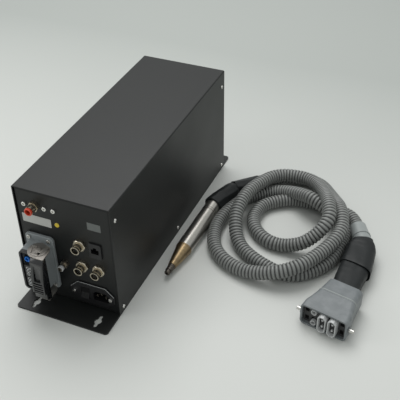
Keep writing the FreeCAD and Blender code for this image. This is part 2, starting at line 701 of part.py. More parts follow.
def power_rocker():
    """Key dished in the middle, hung on a cross pin and tipped with its lower end out."""
    pivot_y = PANEL_Y - INLET_FLANGE + ROCKER_PIVOT_DEPTH
    half = ROCKER_HEIGHT / 2
    crest = ROCKER_PIVOT_DEPTH + ROCKER_DISH - 0.4
    profile = [(4.5, 0.6 * half), (-1, half), (-crest, half - 0.3), (ROCKER_DISH - crest, 0)]
    points = [place(0, y, z) for y, z in profile]
    points += [place(0, y, -z) for y, z in reversed(profile[:3])]
    key = polygon_prism(points, place(ROCKER_X - ROCKER_WIDTH / 2, pivot_y, INLET_Z),
                        place(1, 0, 0), ROCKER_WIDTH)
    key.rotate(place(0, pivot_y, INLET_Z), place(1, 0, 0), -ROCKER_TILT)
    pin_start = place(ROCKER_X - ROCKER_WIDTH, pivot_y, INLET_Z)
    return key.cut(rod(ROCKER_PIN + PIN_FIT, pin_start, place(1, 0, 0), 2 * ROCKER_WIDTH))


def inlet_screws():
    y = PANEL_Y - INLET_FLANGE
    return Part.makeCompound([
        pan_screw(INLET_X + s * INLET_SCREW_SPACING / 2, y, INLET_Z, FRONT) for s in (-1, 1)
    ])


# Rectangular socket and its lever
SOCKET_BASE_Y = PANEL_Y - GASKET_SHEET
SOCKET_FACE_Y = SOCKET_BASE_Y - SOCKET_FLANGE_SHEET
SOCKET_RIM_Y = SOCKET_FACE_Y - SOCKET_REACH
SOCKET_HALF = MATE_LENGTH / 2 + SOCKET_DRAFT
PIVOT = (SOCKET_X, SOCKET_FACE_Y + SOCKET_FLANGE_SHEET - LEVER_PIVOT_DEPTH)


def socket_pattern(radius, y, depth):
    """Bores at the four corners of the socket's screw pattern."""
    return [
        rod(radius, place(SOCKET_X + sx * SOCKET_PATTERN_WIDTH / 2, y,
                          SOCKET_Z + sz * SOCKET_PATTERN_HEIGHT / 2), REAR, depth)
        for sx in (-1, 1) for sz in (-1, 1)
    ]


def shroud(width, length, corner, y0, y1, grow):
    """A drafted tube wall's envelope, wider by grow at its root y0 than at its rim y1."""
    root = rounded_outline(width + 2 * grow, length + 2 * grow, corner + grow)
    root.translate(place(SOCKET_X, y0, SOCKET_Z))
    rim = rounded_outline(width, length, corner)
    rim.translate(place(SOCKET_X, y1, SOCKET_Z))
    return Part.makeLoft([root, rim], True, True)


def socket_housing():
    """Die-cast bulkhead housing: flange with four screw holes, drafted wall, rim lip and pivot bosses."""
    flange = slab(SOCKET_FLANGE_WIDTH, SOCKET_FLANGE_HEIGHT, SOCKET_CORNER,
                  SOCKET_FACE_Y, SOCKET_BASE_Y, SOCKET_X, SOCKET_Z)
    edge = [e for e in flange.Edges if abs(e.CenterOfMass.y - SOCKET_FACE_Y) < 0.01]
    flange = flange.makeFillet(1.2, edge)
    wall = shroud(MATE_WIDTH, MATE_LENGTH, SOCKET_CORNER, SOCKET_FACE_Y, SOCKET_RIM_Y, SOCKET_DRAFT)
    t = 2 * SOCKET_WALL
    hollow = shroud(MATE_WIDTH - t, MATE_LENGTH - t, SOCKET_CORNER - SOCKET_WALL,
                    SOCKET_BASE_Y + 1, SOCKET_RIM_Y - 1, 0)
    bosses = []
    for s in (-1, 1):
        start = place(PIVOT[0], PIVOT[1], SOCKET_Z + s * (MATE_LENGTH / 2 - 1))
        bosses.append(rod(LEVER_PIN + 3, start, UP * s, SOCKET_DRAFT + 1))
    holes = socket_pattern(SCREW_RADIUS + FIT, SOCKET_FACE_Y - 1, SOCKET_FLANGE_SHEET + 2)
    for s in (-1, 1):
        start = place(PIVOT[0], PIVOT[1], SOCKET_Z + s * (MATE_LENGTH / 2 - SOCKET_WALL - 1))
        holes.append(rod(LEVER_PIN, start, UP * s, 20))
    return cut_all(fused([flange, wall] + bosses), [hollow] + holes)


def socket_gasket():
    """Flat seal between the flange and the panel."""
    sheet = slab(SOCKET_FLANGE_WIDTH, SOCKET_FLANGE_HEIGHT, SOCKET_CORNER,
                 SOCKET_BASE_Y, PANEL_Y, SOCKET_X, SOCKET_Z)
    inner = slab(MATE_WIDTH - 2 * SOCKET_WALL, MATE_LENGTH - 2 * SOCKET_WALL, SOCKET_CORNER - SOCKET_WALL,
                 SOCKET_BASE_Y - 1, PANEL_Y + 1, SOCKET_X, SOCKET_Z)
    return cut_all(sheet, [inner] + socket_pattern(SCREW_RADIUS + FIT, SOCKET_BASE_Y - 1, 4))


def socket_screws():
    pieces = []
    for sx in (-1, 1):
        for sz in (-1, 1):
            x = SOCKET_X + sx * SOCKET_PATTERN_WIDTH / 2
            z = SOCKET_Z + sz * SOCKET_PATTERN_HEIGHT / 2
            head = rod(SCREW_HEAD, place(x, SOCKET_FACE_Y, z), FRONT, 2.2)
            head = head.makeChamfer(0.8, [e for e in head.Edges if e.CenterOfMass.y < SOCKET_FACE_Y - 1])
            shank = rod(SCREW_RADIUS, place(x, SOCKET_FACE_Y, z), REAR, 12)
            slot = rod(1.4, place(x, SOCKET_FACE_Y - 3, z), REAR, 2)
            pieces.append(head.fuse(shank).cut(slot).removeSplitter())
    return Part.makeCompound(pieces)


def polar(radius, angle):
    """A point at this radius and angle from the lever's axis, seen from above."""
    a = math.radians(angle)
    return place(PIVOT[0] + radius * math.cos(a), PIVOT[1] + radius * math.sin(a), 0)


def arm_levels():
    """The lower and upper faces of the two lever arms."""
    inner = SOCKET_HALF + LEVER_CLEAR
    return (
        (SOCKET_Z + inner, SOCKET_Z + inner + LEVER_SHEET),
        (SOCKET_Z - inner - LEVER_SHEET, SOCKET_Z - inner),
    )


def lever_arms():
    """The two die-cast cam plates at the socket's ends, each with a lobe and a link to the grip."""
    pieces = []
    side = math.degrees(math.atan2(GRIP_WIDTH / 2 - 3, GRIP_REACH))
    for low, high in arm_levels():
        boss = rod(LEVER_BOSS, place(PIVOT[0], PIVOT[1], low), UP, LEVER_SHEET)
        lobe_at = polar(LEVER_LOBE_REACH, LEVER_LOBE_ANGLE)
        lobe = rod(LEVER_LOBE, place(lobe_at.x, lobe_at.y, low), UP, LEVER_SHEET)
        link_points = [
            polar(LEVER_BOSS, GRIP_ANGLE - 90), polar(GRIP_REACH + 4, GRIP_ANGLE - side),
            polar(GRIP_REACH + 4, GRIP_ANGLE + side), polar(LEVER_BOSS, GRIP_ANGLE + 90),
        ]
        link = polygon_prism(link_points, place(0, 0, low), UP, LEVER_SHEET)
        hole_at = polar(LEVER_LOBE_REACH + 4, GRIP_ANGLE + 10)
        holes = [
            rod(LEVER_PIN + PIN_FIT, place(PIVOT[0], PIVOT[1], low - 1), UP, LEVER_SHEET + 2),
            rod(1.8, place(hole_at.x, hole_at.y, low - 1), UP, LEVER_SHEET + 2),
        ]
        pieces.append(cut_all(fused([boss, lobe, link]), holes))
    return Part.makeCompound(pieces)


def lever_grip():
    """Black ribbed bar that joins the arms' outer ends."""
    low = arm_levels()[1][0] - GRIP_OVERHANG
    high = arm_levels()[0][1] + GRIP_OVERHANG
    bar = block(GRIP_REACH, GRIP_REACH + GRIP_THICKNESS, -GRIP_WIDTH / 2, GRIP_WIDTH / 2, low, high)
    long_edges = [e for e in bar.Edges if abs(e.tangentAt(e.FirstParameter).z) > 0.9]
    bar = bar.makeFillet(2.4, long_edges)
    grooves = []
    for i in range(5):
        y = (i - 2) * 3.6
        x = GRIP_REACH + GRIP_THICKNESS - 1.0
        grooves.append(block(x, x + 3, y - 0.8, y + 0.8, low + 12, high - 12))
    bar = bar.cut(grooves)
    bar.rotate(place(0, 0, 0), UP, GRIP_ANGLE)
    bar.translate(place(PIVOT[0], PIVOT[1], 0))
    return cut_all(bar, [lever_arms()])


def lever_pivots():
    """Headed pins pressed into the socket's short ends."""
    pieces = []
    for s, (low, high) in zip((1, -1), arm_levels()):
        start = SOCKET_Z + s * (MATE_LENGTH / 2 - SOCKET_WALL - 0.2)
        outer = high if s > 0 else low
        reach = abs(outer + s * PIN_FIT * 3 - start)
        pin = rod(LEVER_PIN, place(PIVOT[0], PIVOT[1], start), UP * s, reach)
        head = rod(LEVER_PIN_HEAD, place(PIVOT[0], PIVOT[1], start + s * reach), UP * s, LEVER_PIN_HEAD_HEIGHT)
        outer_rim = [e for e in head.Edges if abs(e.CenterOfMass.z - start) > reach + 1]
        pieces.append(fused([pin, head.makeChamfer(0.7, outer_rim)]))
    return Part.makeCompound(pieces)


# Contact modules inside the socket
MODULE_BACK = PANEL_BACK + MODULE_TAIL
MODULE_FACE = SOCKET_BASE_Y - FRAME_DEPTH
MODULE_REACH = MATE_LENGTH / 2 - SOCKET_WALL - FRAME_CLEAR - FRAME_BORDER
AIR_LOW = SOCKET_Z + MODULE_REACH - AIR_MODULE_HEIGHT
VOLTAGE_LOW = AIR_LOW - MODULE_BAR - VOLTAGE_MODULE_HEIGHT
MODULE_HEIGHTS = (
    (AIR_LOW, SOCKET_Z + MODULE_REACH),
    (VOLTAGE_LOW, AIR_LOW - MODULE_BAR),
    (SOCKET_Z - MODULE_REACH, VOLTAGE_LOW - MODULE_BAR),
)
AIR_RING_X = SOCKET_X - AIR_RING_OFFSET


def socket_frame():
    """Black frame that the three modules clip into, just clear of the housing's wall."""
    w = MATE_WIDTH - 2 * SOCKET_WALL - 2 * FRAME_CLEAR
    h = MATE_LENGTH - 2 * SOCKET_WALL - 2 * FRAME_CLEAR
    outer = slab(w, h, SOCKET_CORNER - SOCKET_WALL, MODULE_FACE + 1.5, MODULE_BACK, SOCKET_X, SOCKET_Z)
    pockets = []
    for low, high in MODULE_HEIGHTS:
        pockets.append(slab(MODULE_WIDTH, high - low, 0.5, MODULE_FACE, MODULE_BACK + 1,
                            SOCKET_X, (low + high) / 2))
    return cut_all(outer, pockets)


def module_block(index, front, back):
    low, high = MODULE_HEIGHTS[index]
    gap = 2 * 0.05
    return slab(MODULE_WIDTH - gap, high - low - gap, 0.5, front, back, SOCKET_X, (low + high) / 2)


def air_module():
    """Top module with the air coupling's seat and a plain plugged port beside it."""
    body = module_block(0, MODULE_FACE, MODULE_BACK)
    z = sum(MODULE_HEIGHTS[0]) / 2
    seat = rod(AIR_RING_STEM + PIN_FIT, place(AIR_RING_X, MODULE_FACE - 1, z), REAR, 8)
    bore = rod(2.4, place(AIR_RING_X, MODULE_FACE - 1, z), REAR, 30)
    plug = rod(4.2, place(SOCKET_X + 8, MODULE_FACE - 1, z), REAR, 6)
    return cut_all(body, [seat, bore, plug])


def air_module_ring():
    """Blue release ring of the air coupling."""
    z = sum(MODULE_HEIGHTS[0]) / 2
    y = MODULE_FACE - 1.0
    lip = rod(AIR_RING_RADIUS, place(AIR_RING_X, y - 0.2, z), FRONT, 2.4)
    lip = lip.makeChamfer(0.6, [e for e in lip.Edges if e.CenterOfMass.y < y - 2])
    stem = rod(AIR_RING_STEM, place(AIR_RING_X, y - 0.2, z), REAR, 5)
    return cut_all(fused([lip, stem]), [rod(2.5, place(AIR_RING_X, y - 6, z), REAR, 20)])


def high_voltage_module():
    """Middle module with two deep round sockets for the torch's high voltage."""
    body = module_block(1, MODULE_FACE - 3, MODULE_BACK)
    z = sum(MODULE_HEIGHTS[1]) / 2
    tools = []
    for dx in (-6.6, 6.6):
        ring = rod(5.2, place(SOCKET_X + dx, MODULE_FACE - 4, z), REAR, 9)
        post = rod(3.4, place(SOCKET_X + dx, MODULE_FACE - 4, z), REAR, 9)
        bore = rod(2.1, place(SOCKET_X + dx, MODULE_FACE - 4, z), REAR, 9)
        tools += [ring.cut(post), bore]
    return cut_all(body, tools)


def signal_module():
    """Bottom module with two rows of small contact holes."""
    body = module_block(2, MODULE_FACE - 1.5, MODULE_BACK)
    z = sum(MODULE_HEIGHTS[2]) / 2
    tools = []
    for i in range(4):
        for s in (-1, 1):
            start = place(SOCKET_X + (i - 1.5) * 6, MODULE_FACE - 3, z + s * 4.2)
            tools.append(rod(1.5, start, REAR, 7))
    return cut_all(body, tools)


# Inside the case
def pressure_regulator():
    """Block behind the panel with its adjusting dome below and the outlet at its rear."""
    x0 = AIR_X - REGULATOR_SIDE
    y0 = PANEL_BACK
    body = block(x0, x0 + REGULATOR_WIDTH, y0, y0 + REGULATOR_DEPTH,
                 AIR_Z - REGULATOR_HEIGHT / 2, AIR_Z + REGULATOR_HEIGHT / 2)
    body = body.makeChamfer(2, [e for e in body.Edges if e.CenterOfMass.y > y0 + REGULATOR_DEPTH - 0.1])
    under = AIR_Z - REGULATOR_HEIGHT / 2
    dome = rod(REGULATOR_DOME, place(AIR_X, y0 + REGULATOR_DEPTH / 2, under), UP * -1, REGULATOR_DOME_LENGTH)
    dome = dome.makeChamfer(3, [e for e in dome.Edges if e.CenterOfMass.z < under - REGULATOR_DOME_LENGTH + 1])
    tools = [rod(AIR_BODY_RADIUS - 0.6 + PIN_FIT, place(AIR_X, y0 - 1, AIR_Z), REAR, 10)]
    tools += [rod(HOLD_SCREW_RADIUS + PIN_FIT, place(x, y0 - 1, AIR_Z), REAR, 10) for x in HOLD_SCREW_X]
    return cut_all(fused([body, dome]), tools)


def routed_tube(points, radius):
    """A tube of straight runs with tangent arcs, each arc as large as its two runs allow."""
    vectors = [place(*p) for p in points]
    edges = []
    last = vectors[0]
    radii = []
    for before, corner, after in zip(vectors, vectors[1:], vectors[2:]):
        a = (before - corner).normalize()
        b = (after - corner).normalize()
        turn = math.pi - a.getAngle(b)
        shorter = min((before - corner).Length, (after - corner).Length)
        trim = 0.45 * shorter
        bend = trim / math.tan(turn / 2)
        radii.append(bend)
        start, stop = corner + a * trim, corner + b * trim
        bisector = (a + b).normalize()
        middle = corner + bisector * (bend / math.cos(turn / 2) - bend)
        edges.append(Part.LineSegment(last, start).toShape())
        edges.append(Part.Arc(start, middle, stop).toShape())
        last = stop
    edges.append(Part.LineSegment(last, vectors[-1]).toShape())
    path = Part.Wire(edges)
    circle = Part.Wire(Part.Circle(vectors[0], vectors[1] - vectors[0], radius).toShape())
    tube = path.makePipeShell([circle], True, False)
    print("radii", [round(r, 1) for r in radii], "length", round(path.Length, 1),
          "volume ratio", round(tube.Volume / (math.pi * radius ** 2 * path.Length), 4))
    return tube


def inner_air_tube():
    """Air line from the regulator's dome side down to the socket's air module."""
    z = sum(MODULE_HEIGHTS[0]) / 2
    x0 = AIR_X + 26
    top = AIR_Z - REGULATOR_HEIGHT / 2
    y = PANEL_BACK + 26
    return routed_tube([
        (x0, y, top), (x0, y, z + 22), (AIR_RING_X + 12, y + 4, z + 2),
        (AIR_RING_X, y - 8, z), (AIR_RING_X, MODULE_BACK, z),
    ], INNER_TUBE)


def board_places():
    """The four screw places of the inverter board."""
    x = BOARD_WIDTH / 2 - 5
    return [(sx * x, y) for sx in (-1, 1) for y in (BOARD_Y + 5, BOARD_Y + BOARD_LENGTH - 5)]


def board_standoffs():
    return Part.makeCompound([
        rod(STANDOFF_RADIUS, place(x, y, PLATE_THICKNESS), UP, STANDOFF) for x, y in board_places()
    ])


def inverter_board():
    """Board with two capacitor cans and a row of power transistors' blocks."""
    z = PLATE_THICKNESS + STANDOFF
    w = BOARD_WIDTH / 2
    board = block(-w, w, BOARD_Y, BOARD_Y + BOARD_LENGTH, z, z + BOARD_SHEET)
    top = z + BOARD_SHEET
    parts = [board]
    for i in range(3):
        can = rod(9, place(w - 14, BOARD_Y + 24 + 26 * i, top), UP, 30)
        parts.append(can.makeChamfer(1.5, [e for e in can.Edges if e.CenterOfMass.z > top + 29]))
    whole = fused(parts)
    holes = [rod(1.6, place(x, y, z - 1), UP, 4) for x, y in board_places()]
    return cut_all(whole, holes)


def heat_sink():
    """Extruded sink on the board: a thick base with upright fins."""
    z = PLATE_THICKNESS + STANDOFF + BOARD_SHEET
    x0 = -BOARD_WIDTH / 2 + 2
    y0 = BOARD_Y + 11
    base = block(x0, x0 + SINK_WIDTH, y0, y0 + SINK_LENGTH, z, z + SINK_BASE)
    pitch = (SINK_WIDTH - SINK_FIN) / (SINK_FINS - 1)
    fins = [
        block(x0 + i * pitch, x0 + i * pitch + SINK_FIN, y0, y0 + SINK_LENGTH, z + SINK_BASE, z + SINK_HEIGHT)
        for i in range(SINK_FINS)
    ]
    return fused([base] + fins)


def transformer_core():
    """Ferrite frame: two outer limbs, a round middle limb and two yokes."""
    x0, x1 = -CORE_WIDTH / 2, CORE_WIDTH / 2
    y0, y1 = CORE_Y, CORE_Y + CORE_LENGTH
    z0, z1 = PLATE_THICKNESS, PLATE_THICKNESS + CORE_HEIGHT
    frame = block(x0, x1, y0, y1, z0, z1)
    yoke = CORE_LIMB * 0.6
    window = block(x0 + yoke, x1 - yoke, y0 - 1, y1 + 1, z0 + yoke, z1 - yoke)
    limb = rod(CORE_LIMB / 2, place(0, (y0 + y1) / 2, z0 + yoke), UP, CORE_HEIGHT - 2 * yoke)
    return fused([frame.cut(window), limb])


def transformer_coils():
    """Two potted windings stacked on the middle limb."""
    yoke = CORE_LIMB * 0.6
    gap = 1.0
    height = (CORE_HEIGHT - 2 * yoke - 3 * gap) / 2
    y = CORE_Y + CORE_LENGTH / 2
    pieces = []
    for i in range(2):
        z = PLATE_THICKNESS + yoke + gap / 2 + i * (height + gap)
        ring = rod(COIL_RADIUS, place(0, y, z), UP, height)
        pieces.append(ring.cut(rod(CORE_LIMB / 2 + 0.05, place(0, y, z - 1), UP, height + 2)))
    return Part.makeCompound(pieces)


def supply_module():
    """Low voltage supply in its own vented cage."""
    w = SUPPLY_WIDTH / 2
    z0 = PLATE_THICKNESS
    z1 = z0 + SUPPLY_HEIGHT
    cage = block(-w, w, SUPPLY_Y, SUPPLY_Y + SUPPLY_LENGTH, z0, z1)
    s = SUPPLY_SHEET
    hollow = block(-w + s, w - s, SUPPLY_Y + s, SUPPLY_Y + SUPPLY_LENGTH - s, z0 + s, z1 - s)
    slots = []
    for i in range(8):
        x = (i - 3.5) * 12.0
        slots.append(block(x - 2, x + 2, SUPPLY_Y + 18, SUPPLY_Y + SUPPLY_LENGTH - 18, z1 - 3, z1 + 1))
    return cut_all(cage, [hollow] + slots)


# Fan
def fan_frame():
    """Square frame with a round duct and four struts to the motor's seat."""
    y1 = REAR_FACE
    y0 = y1 - FAN_DEPTH
    frame = slab(FAN_SIZE, FAN_SIZE, 4, y0, y1, FAN_X, FAN_Z)
    duct = rod(FAN_BORE / 2, place(FAN_X, y0 - 1, FAN_Z), REAR, FAN_DEPTH + 2)
    frame = frame.cut(duct)
    parts = [frame, rod(FAN_HUB - 1, place(FAN_X, y0, FAN_Z), REAR, 3)]
    for i in range(4):
        strut = block(FAN_X, FAN_X + FAN_BORE / 2 + 0.5, y0, y0 + 3, FAN_Z - 1.6, FAN_Z + 1.6)
        strut.rotate(place(FAN_X, 0, FAN_Z), REAR, 45 + 90 * i)
        parts.append(strut)
    parts.append(rod(FAN_SHAFT, place(FAN_X, y0, FAN_Z), REAR, FAN_DEPTH - 3))
    screws = []
    for sx in (-1, 1):
        for sz in (-1, 1):
            start = place(FAN_X + sx * FAN_PITCH / 2, y0 - 1, FAN_Z + sz * FAN_PITCH / 2)
            screws.append(rod(FAN_SHAFT + FIT, start, REAR, FAN_DEPTH + 2))
    return cut_all(fused(parts), screws)


def fan_blade(y0, y1):
    """One twisted blade, lofted between a short chord at the hub and a long one at the tip."""
    sections = []
    tip = FAN_BORE / 2 - FAN_CLEAR
    stations = (
        (FAN_HUB - 1.5, 15.0, 52.0), ((FAN_HUB + tip) / 2, 18.0, 42.0), (tip - 0.4, 20.0, 32.0),
    )
    for radius, chord, pitch in stations:
        a = math.radians(pitch)
        dx, dy = math.cos(a) * chord / 2, math.sin(a) * chord / 2
        nx, ny = -math.sin(a) * 0.7, math.cos(a) * 0.7
        middle = (y0 + y1) / 2
        points = [
            place(-dx, middle - dy, radius),
            place(nx * 2.4, middle + ny * 2.4, radius),
            place(dx, middle + dy, radius),
        ]
        back = [place(nx * 0.6, middle + ny * 0.6, radius)]
        upper = Part.Arc(points[0], points[1], points[2]).toShape()
        lower = Part.Arc(points[2], back[0], points[0]).toShape()
        sections.append(Part.Wire([upper, lower]))
    return Part.makeLoft(sections, True, False)


def fan_rotor():
    """Hub with seven twisted blades on its shaft."""
    y0 = REAR_FACE - FAN_DEPTH + 4
    y1 = REAR_FACE - 2
    hub = rod(FAN_HUB, place(FAN_X, y0, FAN_Z), REAR, y1 - y0)
    hub = hub.makeChamfer(2, [e for e in hub.Edges if e.CenterOfMass.y > y1 - 0.1])
    parts = [hub]
    for i in range(FAN_BLADES):
        blade = fan_blade(y0 + 1, y1 - 1)
        blade.translate(place(FAN_X, 0, FAN_Z))
        blade.rotate(place(FAN_X, 0, FAN_Z), REAR, i * 360.0 / FAN_BLADES)
        parts.append(blade)
    bore = rod(FAN_SHAFT + PIN_FIT, place(FAN_X, y0 - 1, FAN_Z), REAR, FAN_DEPTH - 5)
    return cut_all(fused(parts), [bore])


def fan_guard():
    """Wire guard outside the rear panel: flat-wire rings in front of two crossed wires with corner eyes."""
    pitch = (FAN_BORE / 2 - GUARD_INNER_RING) / (GUARD_RINGS - 1)
    ring_y = REAR_Y + GUARD_WIRE
    parts = []
    for i in range(GUARD_RINGS):
        radius = GUARD_INNER_RING + i * pitch
        ring = rod(radius + GUARD_WIRE, place(FAN_X, ring_y, FAN_Z), REAR, 1.5 * GUARD_WIRE)
        parts.append(ring.cut(rod(radius - GUARD_WIRE, place(FAN_X, REAR_Y, FAN_Z), REAR, 6 * GUARD_WIRE)))
    half = FAN_PITCH / math.sqrt(2)
    for angle in (45, 135):
        wire = block(-half, half, REAR_Y, REAR_Y + 1.5 * GUARD_WIRE, -GUARD_WIRE, GUARD_WIRE)
        wire.rotate(place(0, 0, 0), REAR, angle)
        wire.translate(place(FAN_X, 0, FAN_Z))
        parts.append(wire)
    for sx in (-1, 1):
        for sz in (-1, 1):
            start = place(FAN_X + sx * FAN_PITCH / 2, REAR_Y, FAN_Z + sz * FAN_PITCH / 2)
            parts.append(rod(GUARD_EYE, start, REAR, 1.5 * GUARD_WIRE))
    return fused(parts)


# Torch
def torch_frame():
    """Placement that carries a shape built up along Z, from the nozzle's mouth, onto the torch's axis."""
    nose = place(TORCH_NOSE[0], TORCH_NOSE[1], 0)
    tail = place(TORCH_TAIL[0], TORCH_TAIL[1], 0)
    length = (tail - nose).Length
    cone_end = NOZZLE_TIP_LENGTH + NOZZLE_COLLAR_LENGTH + CONE_LENGTH
    rise = TORCH_LIFT / (length - cone_end)
    nose.z = TORCH_RADIUS + 0.1 - rise * cone_end
    tail.z = TORCH_RADIUS + 0.1 + TORCH_LIFT
    axis = tail - nose
    return FreeCAD.Placement(nose, FreeCAD.Rotation(UP, axis)), axis.Length


def on_torch(shape):
    shape.Placement = torch_frame()[0]
    return shape


def turned(profile):
    """A solid of revolution about Z from (radius, height) corners."""
    points = [place(r, 0, z) for r, z in profile]
    face = Part.Face(Part.makePolygon(points + [points[0]]))
    return face.revolve(place(0, 0, 0), UP, 360)


CONE_START = NOZZLE_TIP_LENGTH + NOZZLE_COLLAR_LENGTH
BARREL_START = CONE_START + CONE_LENGTH


def torch_nozzle():
    """Dark nozzle with a grooved collar that screws into the cone."""
    t, c = NOZZLE_TIP, NOZZLE_COLLAR
    a = NOZZLE_TIP_LENGTH
    groove = 0.5
    return on_torch(turned([
        (NOZZLE_BORE, 0), (t - 1, 0), (t, 1), (t, a), (c, a), (c, a + 3), (c - groove, a + 3.4),
        (c - groove, a + 4.6), (c, a + 5), (c, a + 7), (c - groove, a + 7.4), (c - groove, a + 8.6),
        (c, a + 9), (c, CONE_START), (c - 1.4, CONE_START), (c - 1.4, CONE_START + 8),
        (NOZZLE_BORE, CONE_START + 8),
    ]))


def torch_cone():
    """Bronze cone from the nozzle's collar up to the barrel, hollow and stepped behind."""
    n, r = CONE_NOSE, TORCH_RADIUS
    bore = NOZZLE_COLLAR - 1.4 + 0.05
    return on_torch(turned([
        (bore, CONE_START), (n, CONE_START), (r - 0.6, BARREL_START - 3), (r, BARREL_START - 2),
        (r, BARREL_START),
        (r - BARREL_WALL - 0.05, BARREL_START), (r - BARREL_WALL - 0.05, BARREL_START + 8),
        (r - 3, BARREL_START + 8), (r - 3, BARREL_START - 6), (bore, CONE_START + 10),
    ]))


def torch_barrel():
    """Brushed tube with a fine seam groove near its rear end."""
    length = torch_frame()[1]
    seam = length - SEAM_FROM_TAIL
    r = TORCH_RADIUS
    return on_torch(turned([
        (r - BARREL_WALL, BARREL_START), (r, BARREL_START), (r, seam - 0.4), (r - 0.4, seam - 0.4),
        (r - 0.4, seam + 0.4), (r, seam + 0.4), (r, length), (r - BARREL_WALL, length),
    ]))


def torch_insulator():
    """Ceramic tube that centres the electrode, with a flange at each end."""
    length = torch_frame()[1]
    start = BARREL_START + 10
    stop = length - 20
    rim = TORCH_RADIUS - BARREL_WALL - 0.05
    return on_torch(turned([
        (INSULATOR_BORE, start), (rim, start), (rim, start + 5), (INSULATOR_RADIUS, start + 7),
        (INSULATOR_RADIUS, stop - 7), (rim, stop - 5), (rim, stop), (INSULATOR_BORE, stop),
    ]))


def torch_electrode():
    """Stick electrode with a rounded tip, held in the insulator by a wider collar."""
    start = CONE_START + 12
    r = ELECTRODE_RADIUS
    hold = BARREL_START + 30
    return on_torch(turned([
        (0, start), (r * 0.6, start + 0.4), (r, start + 2), (r, hold), (INSULATOR_BORE - 0.05, hold),
        (INSULATOR_BORE - 0.05, hold + 40), (r, hold + 40), (r, hold + 60), (0, hold + 60),
    ]))


def span(start, stop, r0, r1):
    """A round taper between two points."""
    a, b = place(*start), place(*stop)
    direction = b - a
    if abs(r0 - r1) < 0.01:
        return Part.makeCylinder(r0, direction.Length, a, direction)
    return Part.makeCone(r0, r1, direction.Length, a, direction)


def sleeve_start():
    """Where the first shrink sleeve begins, on the barrel short of its tail."""
    frame, length = torch_frame()
    point = frame.multVec(place(0, 0, length - SLEEVE_OVERLAP))
    return (point.x, point.y, max(point.z, SLEEVE_FRONT + 0.1))


def torch_sleeve():
    """Tapered heat-shrink over the barrel's rear end."""
    whole = span(sleeve_start(), SLEEVE_END, SLEEVE_FRONT, SLEEVE_REAR)
    ball = Part.makeSphere(SLEEVE_REAR, place(*SLEEVE_END))
    frame, length = torch_frame()
    hollow = Part.makeCylinder(TORCH_RADIUS + 0.02, length)
    hollow.Placement = frame
    return cut_all(fused([whole, ball]), [hollow, tail_sleeve()])


def tail_sleeve():
    """Second heat-shrink, bent away from the torch, over the hose's end."""
    tail = span(SLEEVE_END, TAIL_END, TAIL_RADIUS, TAIL_RADIUS)
    inner = Part.makeSphere(SLEEVE_REAR - 3, place(*SLEEVE_END))
    return tail.cut(inner)


# Hose
OUTER_LOOP = (
    (124, 222), (124, 250), (130, 278), (140, 308), (152, 334), (163, 358), (178, 396), (200, 411), (226, 416),
    (254, 408), (281, 387), (303, 356), (321, 325), (334, 298), (341, 268), (340, 244), (333, 210), (322, 186),
    (308, 164), (290, 149), (266, 137), (236, 132), (203, 134), (172, 145), (144, 173), (128, 202),
)
INNER_LOOP = (
    (193, 278), (200, 257), (217, 240), (240, 234), (264, 236), (283, 246), (292, 264), (290, 286), (280, 308),
    (265, 326), (244, 332), (216, 320), (199, 302),
)
RAISED_LOOP = (
    (149, 256), (148, 286), (156, 326), (173, 364), (202, 387), (237, 388), (275, 362), (302, 338), (320, 322),
    (333, 292), (338, 268), (337, 246), (329, 213), (310, 177), (290, 150), (266, 138), (248, 136), (246, 152),
    (262, 158), (276, 169), (290, 188), (296, 212), (284, 226), (281, 243), (291, 262), (290, 286), (279, 306),
    (258, 342), (236, 365), (209, 366), (192, 351), (177, 318), (170, 285), (168, 256), (158, 246),
)
CROSSING_POINTS = (
    (268.0, 352.0, 40.0), (283.0, 330.0, 49.0), (295.0, 302.0, 54.0), (303.5, 276.0, 55.0), (303.5, 250.0, 46.0),
    (289.0, 233.0, 32.0),
)


def smooth_loop(points, z):
    curve = Part.BSplineCurve()
    curve.interpolate([place(x, y, z) for x, y in points], PeriodicFlag=True)
    return Part.Face(Part.Wire(curve.toShape()))


def hose_coil():
    """The coiled hose's outer shape: loops on the floor, strands lying over them and the top crossing."""
    floor = 0.2
    ring = smooth_loop(OUTER_LOOP, floor).extrude(UP * COIL_LAYER)
    ring = ring.cut(smooth_loop(INNER_LOOP, floor - 1).extrude(UP * (COIL_LAYER + 2)))
    raised = smooth_loop(RAISED_LOOP, floor + COIL_LAYER - 4).extrude(UP * COIL_LAYER)
    sleeve_line = (place(*TAIL_END) - place(*SLEEVE_END)).normalize()
    first_run = Part.makeCylinder(HOSE_RADIUS, 30, place(*TAIL_END), sleeve_line)
    clear = span(SLEEVE_END, TAIL_END, TAIL_RADIUS + HOSE_CLEAR, TAIL_RADIUS + HOSE_CLEAR)
    start, stop = cuff_line()
    cuff_room = Part.makeCylinder(CUFF_RING + HOSE_CLEAR, (stop - start).Length, start, stop - start)
    crossing = routed_tube(CROSSING_POINTS, HOSE_RADIUS)
    return cut_all(fused([ring, raised, first_run, crossing]), [clear, cuff_room])


def hose_run():
    """The stretch from the coil to the cuff."""
    return routed_tube(RUN_POINTS, HOSE_RADIUS)


def cuff_line():
    """Start and end of the cuff, which goes straight on from the hose."""
    a, b = place(*RUN_POINTS[-2]), place(*RUN_POINTS[-1])
    direction = (b - a).normalize()
    return b, b + direction * CUFF_LENGTH


def hose_cuff():
    """Light grey end cuff with a bead round its rear third."""
    start, stop = cuff_line()
    direction = stop - start
    cuff = Part.makeCylinder(CUFF_RADIUS, direction.Length, start, direction)
    cuff = cuff.makeChamfer(1.2, [e for e in cuff.Edges if e.Closed])
    bead_at = start + direction * 0.62
    bead = Part.makeCylinder(CUFF_RING, 2.4, bead_at, direction)
    return fused([cuff, bead])


